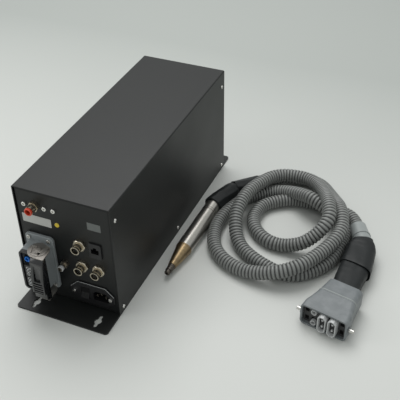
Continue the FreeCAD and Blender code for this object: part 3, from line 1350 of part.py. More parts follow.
# Plug
def plug_point(along, back, height):
    """A point in the plug's own directions: along its long side, back from its mouth, and up."""
    a = math.radians(PLUG_TURN)
    x = PLUG_CENTRE[0] + along * math.cos(a) - back * math.sin(a)
    y = PLUG_CENTRE[1] + along * math.sin(a) + back * math.cos(a)
    return place(x, y, height)


def plug_frame_placement():
    origin = plug_point(0, 0, PLUG_AXIS_HEIGHT)
    return FreeCAD.Placement(origin, FreeCAD.Rotation(UP, PLUG_TURN))


def on_plug(shape):
    """Carries a shape built with its mouth at Y = 0 and its body towards +Y onto the plug's place."""
    shape.Placement = plug_frame_placement().multiply(shape.Placement)
    return shape


def plug_envelope(inset):
    """The hood's form, lofted from its mouth over the shoulder to the cable end."""
    sections = (
        (0.0, MATE_LENGTH, MATE_WIDTH, SOCKET_CORNER),
        (14.0, MATE_LENGTH, MATE_WIDTH, SOCKET_CORNER),
        (26.0, MATE_LENGTH - 6, SHOULDER_HEIGHT - 1, SOCKET_CORNER + 1),
        (SHOULDER_AT, SHOULDER_WIDTH, SHOULDER_HEIGHT, SOCKET_CORNER + 2),
        (PLUG_LENGTH, REAR_WIDTH, REAR_HEIGHT, SOCKET_CORNER + 3),
    )
    wires = []
    for y, length, width, corner in sections:
        wire = rounded_outline(length - 2 * inset, width - 2 * inset, corner - inset)
        wire.translate(place(0, y, 0))
        wires.append(wire)
    return Part.makeLoft(wires, True, True)


def plug_hood():
    """Die-cast hood: hollow loft with a cable opening behind and bosses for the locking pegs."""
    outer = plug_envelope(0)
    inner = plug_envelope(PLUG_WALL)
    rear_wall = block(-REAR_WIDTH, REAR_WIDTH, PLUG_LENGTH - PLUG_WALL, PLUG_LENGTH + 5, -40, 40)
    hood = outer.cut(inner.cut(rear_wall))
    bosses = []
    half = MATE_LENGTH / 2
    for s in (-1, 1):
        start = place(s * (half - 1), PEG_SETBACK, 0)
        bosses.append(rod(PEG_RADIUS + 2.2, start, place(s, 0, 0), 2.4))
    exit_hole = rod(CUFF_RADIUS, place(0, PLUG_LENGTH - 6, 0), REAR, 12)
    peg_bores = rod(PEG_RADIUS, place(-PEG_SPAN, PEG_SETBACK, 0), place(1, 0, 0), 2 * PEG_SPAN)
    return on_plug(cut_all(fused([hood] + bosses), [exit_hole, peg_bores]))


def plug_pegs():
    """Steel locking pegs at the hood's two short ends."""
    pieces = []
    inner = MATE_LENGTH / 2 - PLUG_WALL
    for s in (-1, 1):
        peg = rod(PEG_RADIUS, place(s * inner, PEG_SETBACK, 0), place(s, 0, 0), PEG_SPAN / 2 - inner)
        outer = [e for e in peg.Edges if abs(e.CenterOfMass.x) > PEG_SPAN / 2 - 0.1]
        pieces.append(peg.makeChamfer(0.6, outer))
    return on_plug(Part.makeCompound(pieces))


def plug_frame():
    """Black module frame recessed in the hood's mouth, with a square window at each end."""
    w = MATE_LENGTH - 2 * PLUG_WALL - 0.4
    h = MATE_WIDTH - 2 * PLUG_WALL - 0.4
    frame = slab(w, h, SOCKET_CORNER - PLUG_WALL, PLUG_RECESS, PLUG_RECESS + PLUG_FRAME_DEPTH)
    cuts = []
    for x in (-w / 2 + 6, w / 2 - 6):
        for z in (-h / 4, h / 4):
            cuts.append(slab(6, 8, 0.6, PLUG_RECESS - 1, PLUG_RECESS + 6, x, z))
    for x, z, r in contact_places():
        cuts.append(rod(r - 1.5, place(x, PLUG_RECESS - 1, z), REAR, 20))
    return on_plug(cut_all(frame, cuts))


def contact_places():
    """Centre and outer radius of the plug's two small and two large contacts."""
    return ((-17.0, 7.0, 4.4), (-17.0, -6.0, 4.4), (-4.0, 0.0, HOUSE_SHROUD), (14.0, 0.0, HOUSE_SHROUD))


def plug_contacts():
    """Pale shrouds that stand out of the frame, each round a pin or an empty way."""
    pieces = []
    for x, z, r in contact_places():
        y = PLUG_RECESS
        if r == HOUSE_SHROUD:
            shell = hex_prism(2 * r - 1, x, z, y - CONTACT_REACH, y)
        else:
            shell = rod(r, place(x, y - 1, z), REAR, 1)
        spigot = rod(r - 1.5 - 0.05, place(x, y, z), REAR, 10)
        bore = rod(r - 1.5 - SHROUD_WALL, place(x, y - 6, z), REAR, 12)
        body = cut_all(fused([shell, spigot]), [bore])
        pin = rod(1.2 if r < HOUSE_SHROUD else 2.0, place(x, y + 10, z), FRONT, 9)
        pieces.append(fused([body, pin]))
    return on_plug(Part.makeCompound(pieces))


def plug_sleeve():
    """Wide flattened heat-shrink from the hood's cable end, folded over towards the cuff."""
    rear = plug_point(0, PLUG_LENGTH, 0)
    start, stop = cuff_line()
    heading = (stop - start).normalize()
    neck = stop - heading * CUFF_HIDDEN
    sections = []
    stations = (
        (place(rear.x, rear.y, SLEEVE_AXIS), SLEEVE_WIDTH, SLEEVE_HEIGHT, PLUG_TURN),
        (place(362.9, 172.0, SLEEVE_AXIS), SLEEVE_WIDTH, SLEEVE_HEIGHT, -5.0),
        (place(365.8, 207.4, SLEEVE_AXIS), SLEEVE_WIDTH + 5, SLEEVE_HEIGHT + 2, -2.0),
        (place(364.0, 243.0, SLEEVE_AXIS), SLEEVE_WIDTH + 4, SLEEVE_HEIGHT + 4, 8.0),
        (place(363.5, 260.0, SLEEVE_AXIS), SLEEVE_WIDTH + 1, SLEEVE_HEIGHT + 5, 16.0),
        (place(neck.x, neck.y, neck.z), 2 * CUFF_RING + 1, 2 * CUFF_RING + 0.6, 25.0),
    )
    for centre, width, height, turn in stations:
        wire = rounded_outline(width, height, height * 0.42)
        wire.rotate(place(0, 0, 0), UP, turn)
        wire.translate(centre)
        sections.append(wire)
    sleeve = Part.makeLoft(sections, True, False)
    cuff_room = Part.makeCylinder(CUFF_RING + 0.05, 60, start, stop - start)
    return cut_all(sleeve, [cuff_room])


NODES = {
    "base_plate": base_plate, "front_panel": front_panel, "rear_panel": rear_panel, "top_cover": top_cover,
    "cover_screws": cover_screws, "panel_screws": panel_screws, "air_inlet_body": air_inlet_body,
    "release_collar": release_collar, "label_plate": label_plate, "status_lamp": status_lamp,
    "display_window": display_window, "display_board": display_board,
    "port_a_shell": lambda: port_shell(*PORT_A), "port_b_shell": lambda: port_shell(*PORT_B),
    "port_c_shell": lambda: port_shell(*PORT_C), "port_inserts": port_inserts,
    "network_port": network_port, "vent_fitting": vent_fitting, "vent_fitting_ring": vent_fitting_ring,
    "power_inlet": power_inlet, "power_pins": power_pins, "power_rocker": power_rocker,
    "inlet_screws": inlet_screws, "socket_housing": socket_housing, "socket_gasket": socket_gasket,
    "socket_screws": socket_screws, "lever_arms": lever_arms, "lever_grip": lever_grip,
    "lever_pivots": lever_pivots, "socket_frame": socket_frame, "signal_module": signal_module,
    "high_voltage_module": high_voltage_module, "air_module": air_module, "air_module_ring": air_module_ring,
    "transformer_core": transformer_core, "transformer_coils": transformer_coils,
    "inverter_board": inverter_board, "board_standoffs": board_standoffs, "heat_sink": heat_sink,
    "supply_module": supply_module, "pressure_regulator": pressure_regulator, "inner_air_tube": inner_air_tube,
    "fan_frame": fan_frame, "fan_rotor": fan_rotor, "fan_guard": fan_guard,
    "torch_nozzle": torch_nozzle, "torch_cone": torch_cone, "torch_barrel": torch_barrel,
    "torch_insulator": torch_insulator, "torch_electrode": torch_electrode, "torch_sleeve": torch_sleeve,
    "tail_sleeve": tail_sleeve, "hose_coil": hose_coil, "hose_run": hose_run, "hose_cuff": hose_cuff,
    "plug_sleeve": plug_sleeve, "plug_hood": plug_hood, "plug_pegs": plug_pegs, "plug_frame": plug_frame,
    "plug_contacts": plug_contacts,
}

os.makedirs("parts", exist_ok=True)
for name, make in NODES.items():
    shape = make()
    print(name, len(shape.Solids), "solids", round(shape.Volume), "valid", shape.isValid())
    shape.exportStep("parts/" + name + ".step")
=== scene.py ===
"""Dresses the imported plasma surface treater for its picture.

Lengths are in metres unless a name ends in MM.
"""
import json
import math

import bmesh
import bpy
from mathutils import Matrix, Vector, noise


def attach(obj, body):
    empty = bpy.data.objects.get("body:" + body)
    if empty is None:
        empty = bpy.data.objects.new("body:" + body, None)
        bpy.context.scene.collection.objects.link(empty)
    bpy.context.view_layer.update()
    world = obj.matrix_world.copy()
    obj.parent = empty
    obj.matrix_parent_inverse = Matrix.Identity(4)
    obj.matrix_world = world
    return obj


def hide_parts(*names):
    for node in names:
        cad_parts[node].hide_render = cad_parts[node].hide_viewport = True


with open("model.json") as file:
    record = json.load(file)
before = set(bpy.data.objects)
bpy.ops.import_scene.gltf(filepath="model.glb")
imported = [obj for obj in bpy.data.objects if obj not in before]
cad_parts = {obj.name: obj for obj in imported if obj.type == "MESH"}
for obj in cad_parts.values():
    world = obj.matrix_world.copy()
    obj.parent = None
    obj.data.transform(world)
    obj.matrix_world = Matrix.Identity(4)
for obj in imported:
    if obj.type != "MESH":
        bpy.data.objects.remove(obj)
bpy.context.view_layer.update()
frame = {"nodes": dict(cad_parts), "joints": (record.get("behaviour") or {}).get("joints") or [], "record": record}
MM = 0.001
UP = Vector((0, 0, 1))
FRONT = Vector((0, -1, 0))
RIGHT = Vector((1, 0, 0))

# Where a finish changes along a piece, and how sharply
DARK_FRONT_BACK_Y = -0.025
DARK_FRONT_SHARPNESS = 4000
BARREL_SEAMS_Y = (0.2475, 0.2525)
SEAM_SHARPNESS = 2600
DULL_SPECULAR = 0.28
COAT_SPECULAR = 0.34

# Camera, as it stood for the photograph
PICTURE_WIDTH = 400
FOCAL_PIXELS = 760.94
SENSOR_MM = 36.0
CAMERA_PLACE = (0.48776, -0.65502, 0.80406)
CAMERA_TURN_DEGREES = (52.174, 0.725, 22.925)

# Hose
HOSE_DIAMETER = 0.022
RIB_PITCH = 0.0056
RIB_DEPTH = 0.0019
RIB_STEPS = 8
HOSE_SIDES = 24
HOSE_REST_MM = 11.2
HOSE_START_MM = ((153.5, 363.2, 12.2), (163.5, 374.5, 11.6))
HOSE_RUN_MM = ((304.0, 338.5, 12.6), (323.5, 333.0, 14.2), (338.0, 320.5, 15.1), (345.8, 305.0, 15.4))
COIL_CENTRE_MM = (232.0, 268.0)
COIL_START_DEGREES = 112.0
COIL_STATIONS = 12
COIL_REACH_MM = (
    (137, 144, 101, 92, 101, 104, 130, 130, 129, 111, 97, 95),
    (94, 70, 64, 104, 102, 114, 121, 96, 86, 78, 76, 87),
    (118, 114, 82, 71, 79, 66, 49, 46, 44, 47, 53, 63),
    (68, 80),
)
COIL_LIFT_MM = (
    (0, 0, 16, 36, 30, 22, 21, 0, 0, 0, 0, 0),
    (2, 20, 29, 2, 0, 0, 0, 0, 0, 17, 27, 26),
    (21, 23, 37, 48, 42, 14, 0, 0, 0, 0, 0, 0),
    (0, 0),
)


# Node sheets: sums on values, and one method for every other node
class Value:
    """A number or colour flowing out of a node. Python's operators on it add Math nodes."""

    def __init__(self, sheet, socket):
        self.sheet = sheet
        self.socket = socket

    def work(self, operation, *numbers):
        return self.sheet.add("ShaderNodeMath", {"operation": operation}, dict(enumerate(numbers)))

    def __add__(self, other):
        return self.work("ADD", self, other)

    def __sub__(self, other):
        return self.work("SUBTRACT", self, other)

    def __rsub__(self, other):
        return self.work("SUBTRACT", other, self)

    def __mul__(self, other):
        return self.work("MULTIPLY", self, other)

    def __truediv__(self, other):
        return self.work("DIVIDE", self, other)

    def __pow__(self, other):
        return self.work("POWER", self, other)

    __radd__ = __add__
    __rmul__ = __mul__


class Sheet:
    """A node tree, for a material or for geometry."""

    def __init__(self, tree):
        self.tree = tree

    def add(self, kind, settings=None, inputs=None, output=0):
        """A node of this type: its settings first, then the values or links of its sockets."""
        node = self.tree.nodes.new(kind)
        for name, setting in (settings or {}).items():
            if name == "stops":
                self.set_stops(node.color_ramp, setting)
            else:
                setattr(node, name, setting)
        for name, value in (inputs or {}).items():
            self.feed(node.inputs[name], value)
        return Value(self, node.outputs[output])

    def feed(self, socket, value):
        if isinstance(value, Value):
            self.tree.links.new(value.socket, socket)
        else:
            socket.default_value = value

    def set_stops(self, ramp, stops):
        while len(ramp.elements) < len(stops):
            ramp.elements.new(0.5)
        for element, (position, level) in zip(ramp.elements, stops):
            element.position = position
            element.color = (level, level, level, 1)


class Finish(Sheet):
    """A material on the Principled shader, in the piece's own coordinates."""

    def __init__(self, name, colour, roughness, metallic=0.0, coat=0.0):
        self.material = bpy.data.materials.new(name)
        self.material.use_nodes = True
        super().__init__(self.material.node_tree)
        self.colour = colour
        self.roughness = roughness
        self.shader = self.tree.nodes["Principled BSDF"]
        self.set("Base Color", (*colour, 1))
        self.set("Roughness", roughness)
        self.set("Metallic", metallic)
        self.set("Coat Weight", coat)
        self.place = self.add("ShaderNodeTexCoord", output="Object")

    def set(self, socket, value):
        self.feed(self.shader.inputs[socket], value)

    def cloud(self, size, detail=2.0, stretch=(1, 1, 1), turn_degrees=0.0):
        """Smooth noise from 0 to 1 whose blotches are this size across."""
        point = self.add(
            "ShaderNodeMapping",
            {"vector_type": "POINT"},
            {"Vector": self.place, "Rotation": (0, 0, math.radians(turn_degrees)), "Scale": stretch},
        )
        return self.add("ShaderNodeTexNoise", None, {
            "Vector": point, "Scale": 1 / size, "Detail": detail, "Roughness": 0.55,
        })

    def bounded(self, value):
        return value.work("MAXIMUM", value.work("MINIMUM", value, 1.0), 0.0)

    def ramp(self, value, *stops):
        return self.add("ShaderNodeValToRGB", {"stops": stops}, {0: value})

    def tint(self, amount, other):
        """Mixes another colour into the base by this amount."""
        mixed = self.add("ShaderNodeMix", {"data_type": "RGBA"}, {
            0: amount, 6: (*self.colour, 1), 7: (*other, 1),
        }, output=2)
        self.set("Base Color", mixed)

    def along(self, axis):
        """The piece's own coordinate on one axis."""
        return self.add("ShaderNodeSeparateXYZ", None, {0: self.place}, output=axis)

    def relief(self, height, depth, strength=1.0):
        bumped = self.add("ShaderNodeBump", None, {"Height": height, "Distance": depth, "Strength": strength})
        self.set("Normal", bumped)


def grained(name, colour, roughness, grain, depth, shade=0.8, metallic=0.0, coat=0.0):
    """A plain finish with fine grain in its surface and slow changes of tone and gloss."""
    finish = Finish(name, colour, roughness, metallic, coat)
    slow = finish.cloud(24 * MM)
    finish.tint(slow * 0.8, [c * shade for c in colour])
    finish.set("Roughness", roughness - 0.06 + slow * 0.12)
    finish.relief(finish.cloud(grain, 3.0), depth)
    return finish


def powder_coat():
    """Black powder coat: a fine orange peel, with faint dust lying on it."""
    finish = Finish("powder_coat_black", (0.0085, 0.0095, 0.0095), 0.44)
    peel = finish.cloud(0.9 * MM, 2.0)
    dust = finish.cloud(60 * MM, 4.0)
    finish.tint(dust * 0.5, (0.014, 0.0145, 0.0135))
    finish.set("Roughness", 0.38 + dust * 0.1)
    finish.relief(peel, 0.05 * MM)
    finish.set("Specular IOR Level", COAT_SPECULAR)
    return finish


def brushed(name, colour, roughness, stretch, turn_degrees=0.0, tone=0.75):
    """Metal with fine lines; stretch squeezes the pattern across the lines."""
    finish = Finish(name, colour, roughness, 1.0)
    lines = finish.cloud(4 * MM, 4.0, stretch, turn_degrees)
    patches = finish.cloud(18 * MM, 3.0)
    finish.tint(patches * 0.6, [c * tone for c in colour])
    finish.set("Roughness", roughness - 0.1 + lines * 0.2)
    finish.relief(lines, 0.02 * MM)
    return finish


def heated_bronze():
    """Heat-tinted cone: bronze with a browner band and brushed turning lines."""
    finish = Finish("cone_bronze", (0.36, 0.27, 0.15), 0.36, 1.0)
    lines = finish.cloud(3 * MM, 3.0, (1, 12, 1))
    patches = finish.cloud(9 * MM, 3.0)
    finish.tint(finish.ramp(patches, (0.35, 0), (0.7, 1)), (0.22, 0.16, 0.1))
    finish.set("Roughness", 0.3 + lines * 0.2)
    finish.relief(lines, 0.03 * MM)
    return finish


def cast_paint():
    """Grey coat over a die casting: fine pits and softly rubbed patches."""
    finish = Finish("die_cast_grey", (0.15, 0.165, 0.172), 0.42)
    pits = finish.cloud(0.7 * MM, 3.0)
    rubbed = finish.cloud(14 * MM, 4.0)
    finish.tint(finish.ramp(rubbed, (0.4, 0), (0.75, 1)), (0.21, 0.225, 0.232))
    finish.set("Roughness", 0.36 + rubbed * 0.16)
    finish.relief(pits, 0.06 * MM)
    return finish


def socket_paint():
    """The same grey coat on the socket, made lighter than the cast parts as painted light on its shaded sides, and
    dark over the front of the walls.
    """
    # Lighter base than die_cast_grey: painted light for the socket's side faces that fall in shade.
    finish = Finish("socket_grey", (0.225, 0.245, 0.252), 0.4)
    pits = finish.cloud(0.7 * MM, 3.0)
    rubbed = finish.cloud(10 * MM, 4.0)
    # Dark over the front of the walls, forward of a set depth; the wear patches stay off it.
    dark_front = finish.bounded((DARK_FRONT_BACK_Y - finish.along("Y")) * DARK_FRONT_SHARPNESS)
    wear = finish.ramp(rubbed, (0.45, 0), (0.8, 1)) * (1 - dark_front)
    finish.tint(dark_front, (0.02, 0.021, 0.022))
    finish.set("Roughness", 0.36 + wear * 0.2)
    finish.relief(pits, 0.06 * MM)
    return finish


def shrink_film():
    """Heat-shrunk black film: matt, with small puckers."""
    finish = Finish("shrink_black", (0.0085, 0.01, 0.0105), 0.46)
    pucker = finish.cloud(3.5 * MM, 3.0)
    haze = finish.cloud(20 * MM, 3.0)
    finish.tint(haze * 0.7, (0.018, 0.021, 0.0215))
    finish.set("Roughness", 0.4 + haze * 0.16)
    finish.relief(pucker, 0.25 * MM, 0.6)
    return finish


def hose_plastic():
    """Grey corrugated hose: satin crowns, with painted shade in the grooves between them and random darker
    patches.
    """
    finish = Finish("hose_grey", (0.25, 0.258, 0.248), 0.4)
    groove = finish.add("ShaderNodeAttribute", {"attribute_name": "groove"}, output="Fac")
    patch = finish.cloud(30 * MM, 4.0)
    fine = finish.cloud(1.2 * MM, 2.0)
    # Painted shade: the grooves are darkened by the stored groove depth, mixed with random darker patches.
    finish.tint(finish.bounded(groove * 1.3 + patch * 0.2), (0.03, 0.031, 0.03))
    finish.set("Roughness", 0.36 + patch * 0.16)
    finish.relief(fine, 0.03 * MM)
    return finish


def turned_barrel():
    """Turned steel barrel with two fine dark seams near its tail."""
    finish = Finish("barrel_steel", (0.56, 0.54, 0.5), 0.3, 1.0)
    lines = finish.cloud(4 * MM, 4.0, (1, 14, 1), -1.5)
    along = finish.along("Y")
    seams = 0.0
    for place in BARREL_SEAMS_Y:
        off = along - place
        seams = finish.bounded(1.6 - off.work("ABSOLUTE", off) * SEAM_SHARPNESS) + seams
    finish.tint(finish.bounded(seams * 0.8 + finish.cloud(18 * MM, 3.0) * 0.35), (0.16, 0.15, 0.14))
    finish.set("Roughness", 0.2 + lines * 0.2)
    finish.relief(lines, 0.02 * MM)
    return finish


def window_glass():
    """Grey-green display window, a little cloudy."""
    finish = Finish("display_grey", (0.1, 0.108, 0.105), 0.24, coat=0.3)
    haze = finish.cloud(6 * MM, 2.0)
    finish.tint(haze * 0.5, (0.085, 0.095, 0.09))
    finish.set("Roughness", 0.16 + haze * 0.1)
    return finish


FINISHES = {
    "case_paint": powder_coat(),
    "black_steel": brushed("screw_bright", (0.78, 0.77, 0.74), 0.24, (1, 1, 1)),
    "bright_steel": brushed("plated_steel", (0.66, 0.65, 0.62), 0.3, (1, 1, 6)),
    "nickel": brushed("warm_nickel", (0.6, 0.54, 0.43), 0.28, (1, 8, 1), tone=0.6),
    "brass": brushed("dull_brass", (0.45, 0.405, 0.34), 0.34, (1, 8, 1)),
    "red_plastic": grained("collar_red", (0.72, 0.07, 0.03), 0.36, 1.0 * MM, 0.02 * MM, shade=0.7),
    "label_white": grained("label_white", (0.5, 0.5, 0.475), 0.45, 1.5 * MM, 0.02 * MM, shade=0.85),
    "lamp_yellow": grained("lamp_yellow", (0.75, 0.55, 0.04), 0.25, 2 * MM, 0.03 * MM, coat=0.5),
    "display_glass": window_glass(),
    "board_green": grained("board_green", (0.03, 0.16, 0.07), 0.4, 1 * MM, 0.03 * MM),
    "insert_black": grained("moulded_black", (0.03, 0.03, 0.031), 0.5, 0.6 * MM, 0.05 * MM),
    "inlet_plastic": grained("inlet_black", (0.007, 0.007, 0.008), 0.42, 0.6 * MM, 0.03 * MM),
    "rocker_plastic": grained("rocker_black", (0.006, 0.006, 0.0065), 0.5, 0.8 * MM, 0.02 * MM),
    "die_cast": cast_paint(),
    "socket_cast": socket_paint(),
    "seal_rubber": grained("seal_black", (0.02, 0.02, 0.02), 0.65, 0.8 * MM, 0.05 * MM),
    "lever_steel": brushed("lever_satin", (0.42, 0.395, 0.365), 0.48, (1, 1, 6), tone=0.4),
    "grip_plastic": grained("grip_black", (0.007, 0.0078, 0.009), 0.24, 0.6 * MM, 0.03 * MM, coat=0.4),
    "frame_zinc": grained("cast_zinc", (0.5, 0.5, 0.5), 0.42, 0.7 * MM, 0.05 * MM, metallic=1.0),
    "blue_plastic": grained("ring_blue", (0.01, 0.2, 0.75), 0.34, 1.0 * MM, 0.02 * MM),
    "core_iron": grained("core_varnish", (0.12, 0.11, 0.1), 0.5, 0.8 * MM, 0.06 * MM),
    "copper": brushed("copper_wire", (0.7, 0.32, 0.18), 0.35, (1, 1, 10)),
    "fin_aluminium": brushed("fin_aluminium", (0.62, 0.62, 0.64), 0.38, (1, 6, 1)),
    "tube_blue": grained("tube_blue", (0.02, 0.09, 0.35), 0.35, 1 * MM, 0.02 * MM),
    "rotor_plastic": grained("rotor_black", (0.025, 0.025, 0.027), 0.4, 0.8 * MM, 0.03 * MM),
    "nozzle_dark": brushed("nozzle_dark", (0.13, 0.115, 0.1), 0.42, (1, 10, 1)),
    "cone_bronze": heated_bronze(),
    "barrel_steel": turned_barrel(),
    "ceramic_white": grained("ceramic_white", (0.7, 0.69, 0.65), 0.5, 0.8 * MM, 0.03 * MM),
    "shrink_black": shrink_film(),
    "hose_grey": hose_plastic(),
    "cuff_grey": grained("cuff_grey", (0.31, 0.335, 0.33), 0.38, 0.8 * MM, 0.03 * MM),
    "contact_grey": grained("contact_grey", (0.54, 0.55, 0.55), 0.34, 0.7 * MM, 0.03 * MM),
}
for dull in ("rocker_plastic", "shrink_black"):
    FINISHES[dull].set("Specular IOR Level", DULL_SPECULAR)

SLOT_OF = {part["node"]: part["material_slot"] for part in frame["record"]["subparts"]}
OWN_FINISH = {
    "network_port": "inlet_plastic", "socket_housing": "socket_cast", "vent_fitting_ring": "contact_grey",
}


def dress_nodes():
    """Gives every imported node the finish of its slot, or its own."""
    for node, slot in SLOT_OF.items():
        mesh = frame["nodes"][node].data
        mesh.materials.clear()
        mesh.materials.append(FINISHES[OWN_FINISH.get(node, slot)].material)


# Meshes. Shapes that join sink into each other by the overlap, and cuts start past the surface.
WELD = 1e-6
BROKEN_EDGE_DEGREES = 35
CARVED_SMOOTH_DEGREES = 32
SMOOTH_DEGREES = 30
BEAD_SMOOTH_DEGREES = 60
WRAP_SMOOTH_DEGREES = 24
FINE_EDGE_MM = 0.25
OVERLAP_MM = 0.1
CUT_PAST_MM = 1.0


def piece(name, mesh, body, slot, *replaced):
    """A finished mesh that rides on a body, takes a slot's finish and stands for these nodes."""
    thing = bpy.data.objects.new(name, mesh)
    bpy.context.scene.collection.objects.link(thing)
    mesh.materials.clear()
    mesh.materials.append(FINISHES[slot].material)
    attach(thing, body)
    if replaced:
        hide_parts(*replaced)
    return thing


def mesh_from(name, build, smooth_degrees=None):
    """A mesh filled in by build(bm), its doubles merged and its faces turned outwards."""
    bm = bmesh.new()
    build(bm)
    bmesh.ops.remove_doubles(bm, verts=bm.verts, dist=WELD)
    bmesh.ops.recalc_face_normals(bm, faces=bm.faces)
    mesh = bpy.data.meshes.new(name)
    bm.to_mesh(mesh)
    bm.free()
    if smooth_degrees:
        mesh.shade_smooth()
        mesh.set_sharp_from_angle(angle=math.radians(smooth_degrees))
    return mesh


def level_way(degrees):
    """The level direction at this turn from X."""
    return Vector((math.cos(math.radians(degrees)), math.sin(math.radians(degrees)), 0))


def facing(place, direction):
    """Turns Z onto a direction and moves it to a place."""
    turn = UP.rotation_difference(Vector(direction)).to_matrix().to_4x4()
    return Matrix.Translation(place) @ turn


def skin(bm, rings, loop=False):
    """Quads between rings of equal length; a loop joins its ends, otherwise each end gets a face."""
    for ring, following in zip(rings, rings[1:] + rings[:1] if loop else rings[1:]):
        for i in range(len(ring)):
            j = (i + 1) % len(ring)
            bm.faces.new((ring[i], ring[j], following[j], following[i]))
    if not loop:
        bm.faces.new(rings[0])
        bm.faces.new(rings[-1])


def lathe(profile, sides, where=Matrix.Identity(4), loop=False):
    """A build step that turns (radius, height) points round Z, closed at both ends or into a loop."""
    def build(bm):
        turns = [2 * math.pi * i / sides for i in range(sides)]
        skin(bm, [
            [bm.verts.new(where @ Vector((r * math.cos(a), r * math.sin(a), height))) for a in turns]
            for r, height in profile
        ], loop)
    return build


def hollow(profile, sides, where=Matrix.Identity(4)):
    """The same for a closed loop of points, which leaves the middle open."""
    return lathe(profile, sides, where, loop=True)


def prism(outline, sweep, where=Matrix.Identity(4)):
    """A build step that sweeps a closed outline one way; both are in millimetres."""
    def build(bm):
        near = [bm.verts.new(where @ (Vector(p) * MM)) for p in outline]
        far = [bm.verts.new(where @ ((Vector(p) + Vector(sweep)) * MM)) for p in outline]
        skin(bm, [near, far])
    return build


def together(*steps):
    """One build step made of several."""
    def build(bm):
        for step in steps:
            step(bm)
    return build


def carved(name, body, tools, edge_mm):
    """The body's mesh less each tool's, with its edges broken."""
    helpers = [bpy.data.objects.new(name + "_part", mesh_from(name, step)) for step in [body] + tools]
    for helper in helpers:
        bpy.context.scene.collection.objects.link(helper)
    for tool in helpers[1:]:
        cut = helpers[0].modifiers.new("cut", "BOOLEAN")
        cut.operation = "DIFFERENCE"
        cut.object = tool
        cut.solver = "EXACT"
        cut.use_self = True
    if edge_mm:
        edge = helpers[0].modifiers.new("edge", "BEVEL")
        edge.width = edge_mm * MM
        edge.segments = 2
        edge.limit_method = "ANGLE"
        edge.angle_limit = math.radians(BROKEN_EDGE_DEGREES)
    bpy.context.view_layer.update()
    seen = helpers[0].evaluated_get(bpy.context.evaluated_depsgraph_get())
    mesh = bpy.data.meshes.new_from_object(seen)
    for helper in helpers:
        bpy.data.objects.remove(helper)
    mesh.shade_smooth()
    mesh.set_sharp_from_angle(angle=math.radians(CARVED_SMOOTH_DEGREES))
    return mesh


def solids_of(node):
    """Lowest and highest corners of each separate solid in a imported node."""
    bm = bmesh.new()
    bm.from_mesh(frame["nodes"][node].data)
    bmesh.ops.remove_doubles(bm, verts=bm.verts, dist=WELD)
    unseen = set(bm.verts)
    boxes = []
    while unseen:
        front = [unseen.pop()]
        found = []
        while front:
            vertex = front.pop()
            found.append(vertex.co.copy())
            for edge in vertex.link_edges:
                other = edge.other_vert(vertex)
                if other in unseen:
                    unseen.remove(other)
                    front.append(other)
        low = Vector([min(p[i] for p in found) for i in range(3)])
        high = Vector([max(p[i] for p in found) for i in range(3)])
        boxes.append((low, high))
    bm.free()
    return boxes


# Geometry sheets
class GeometrySheet(Sheet):
    """A geometry tree with named inputs, run as a modifier on one object."""

    def __init__(self, name, sizes):
        super().__init__(bpy.data.node_groups.new(name, "GeometryNodeTree"))
        face = self.tree.interface
        face.new_socket("Geometry", in_out="INPUT", socket_type="NodeSocketGeometry")
        for label, kind in sizes.items():
            face.new_socket(label, in_out="INPUT", socket_type="NodeSocket" + kind)
        face.new_socket("Geometry", in_out="OUTPUT", socket_type="NodeSocketGeometry")
        self.entry = self.tree.nodes.new("NodeGroupInput")

    def given(self, label):
        return Value(self, self.entry.outputs[label])

    def finish(self, geometry):
        """Ends the tree in Realize Instances and Set Material."""
        plain = self.add("GeometryNodeRealizeInstances", None, {"Geometry": geometry})
        done = self.add("GeometryNodeSetMaterial", None, {
            "Geometry": plain, "Material": self.given("Material"),
        })
        way_out = self.tree.nodes.new("NodeGroupOutput")
        self.feed(way_out.inputs[0], done)

    def run_on(self, thing, values):
        """The plain mesh that this tree makes of an object, which is then taken away."""
        modifier = thing.modifiers.new("shape", "NODES")
        modifier.node_group = self.tree
        for item in self.tree.interface.items_tree:
            if item.in_out == "INPUT" and item.name in values:
                modifier[item.identifier] = values[item.name]
        bpy.context.view_layer.update()
        seen = thing.evaluated_get(bpy.context.evaluated_depsgraph_get())
        mesh = bpy.data.meshes.new_from_object(seen)
        thing.modifiers.remove(modifier)
        bpy.data.objects.remove(thing)
        return mesh


def corrugation():
    """Tree that wraps a route in round ribs: radius follows the distance along it."""
    sheet = GeometrySheet("corrugation", {
        "Rib pitch": "Float", "Crown radius": "Float", "Rib depth": "Float",
        "Steps per rib": "Int", "Sides": "Int", "Material": "Material",
    })
    length = sheet.add("GeometryNodeCurveLength", None, {"Curve": sheet.given("Geometry")})
    count = length / sheet.given("Rib pitch") * sheet.given("Steps per rib")
    even = sheet.add("GeometryNodeResampleCurve", {"mode": "COUNT"}, {
        "Curve": sheet.given("Geometry"), "Count": count,
    })
    along = sheet.add("GeometryNodeSplineParameter", output="Length")
    arch = along.work("SINE", along / sheet.given("Rib pitch") * math.pi)
    groove = (1 - arch.work("ABSOLUTE", arch)) ** 1.5
    radius = sheet.given("Crown radius") - sheet.given("Rib depth") * groove
    # Kept on the points for the hose finish, which darkens the grooves as painted shade.
    marked = sheet.add("GeometryNodeStoreNamedAttribute", {"data_type": "FLOAT", "domain": "POINT"}, {
        "Geometry": even, "Name": "groove", "Value": groove,
    })
    ring = sheet.add("GeometryNodeCurvePrimitiveCircle", {"mode": "RADIUS"}, {
        "Resolution": sheet.given("Sides"), "Radius": 1.0,
    })
    tube = sheet.add("GeometryNodeCurveToMesh", None, {
        "Curve": marked, "Profile Curve": ring, "Scale": radius, "Fill Caps": True,
    })
    smooth = sheet.add("GeometryNodeSetShadeSmooth", None, {"Geometry": tube})
    sheet.finish(smooth)
    return sheet


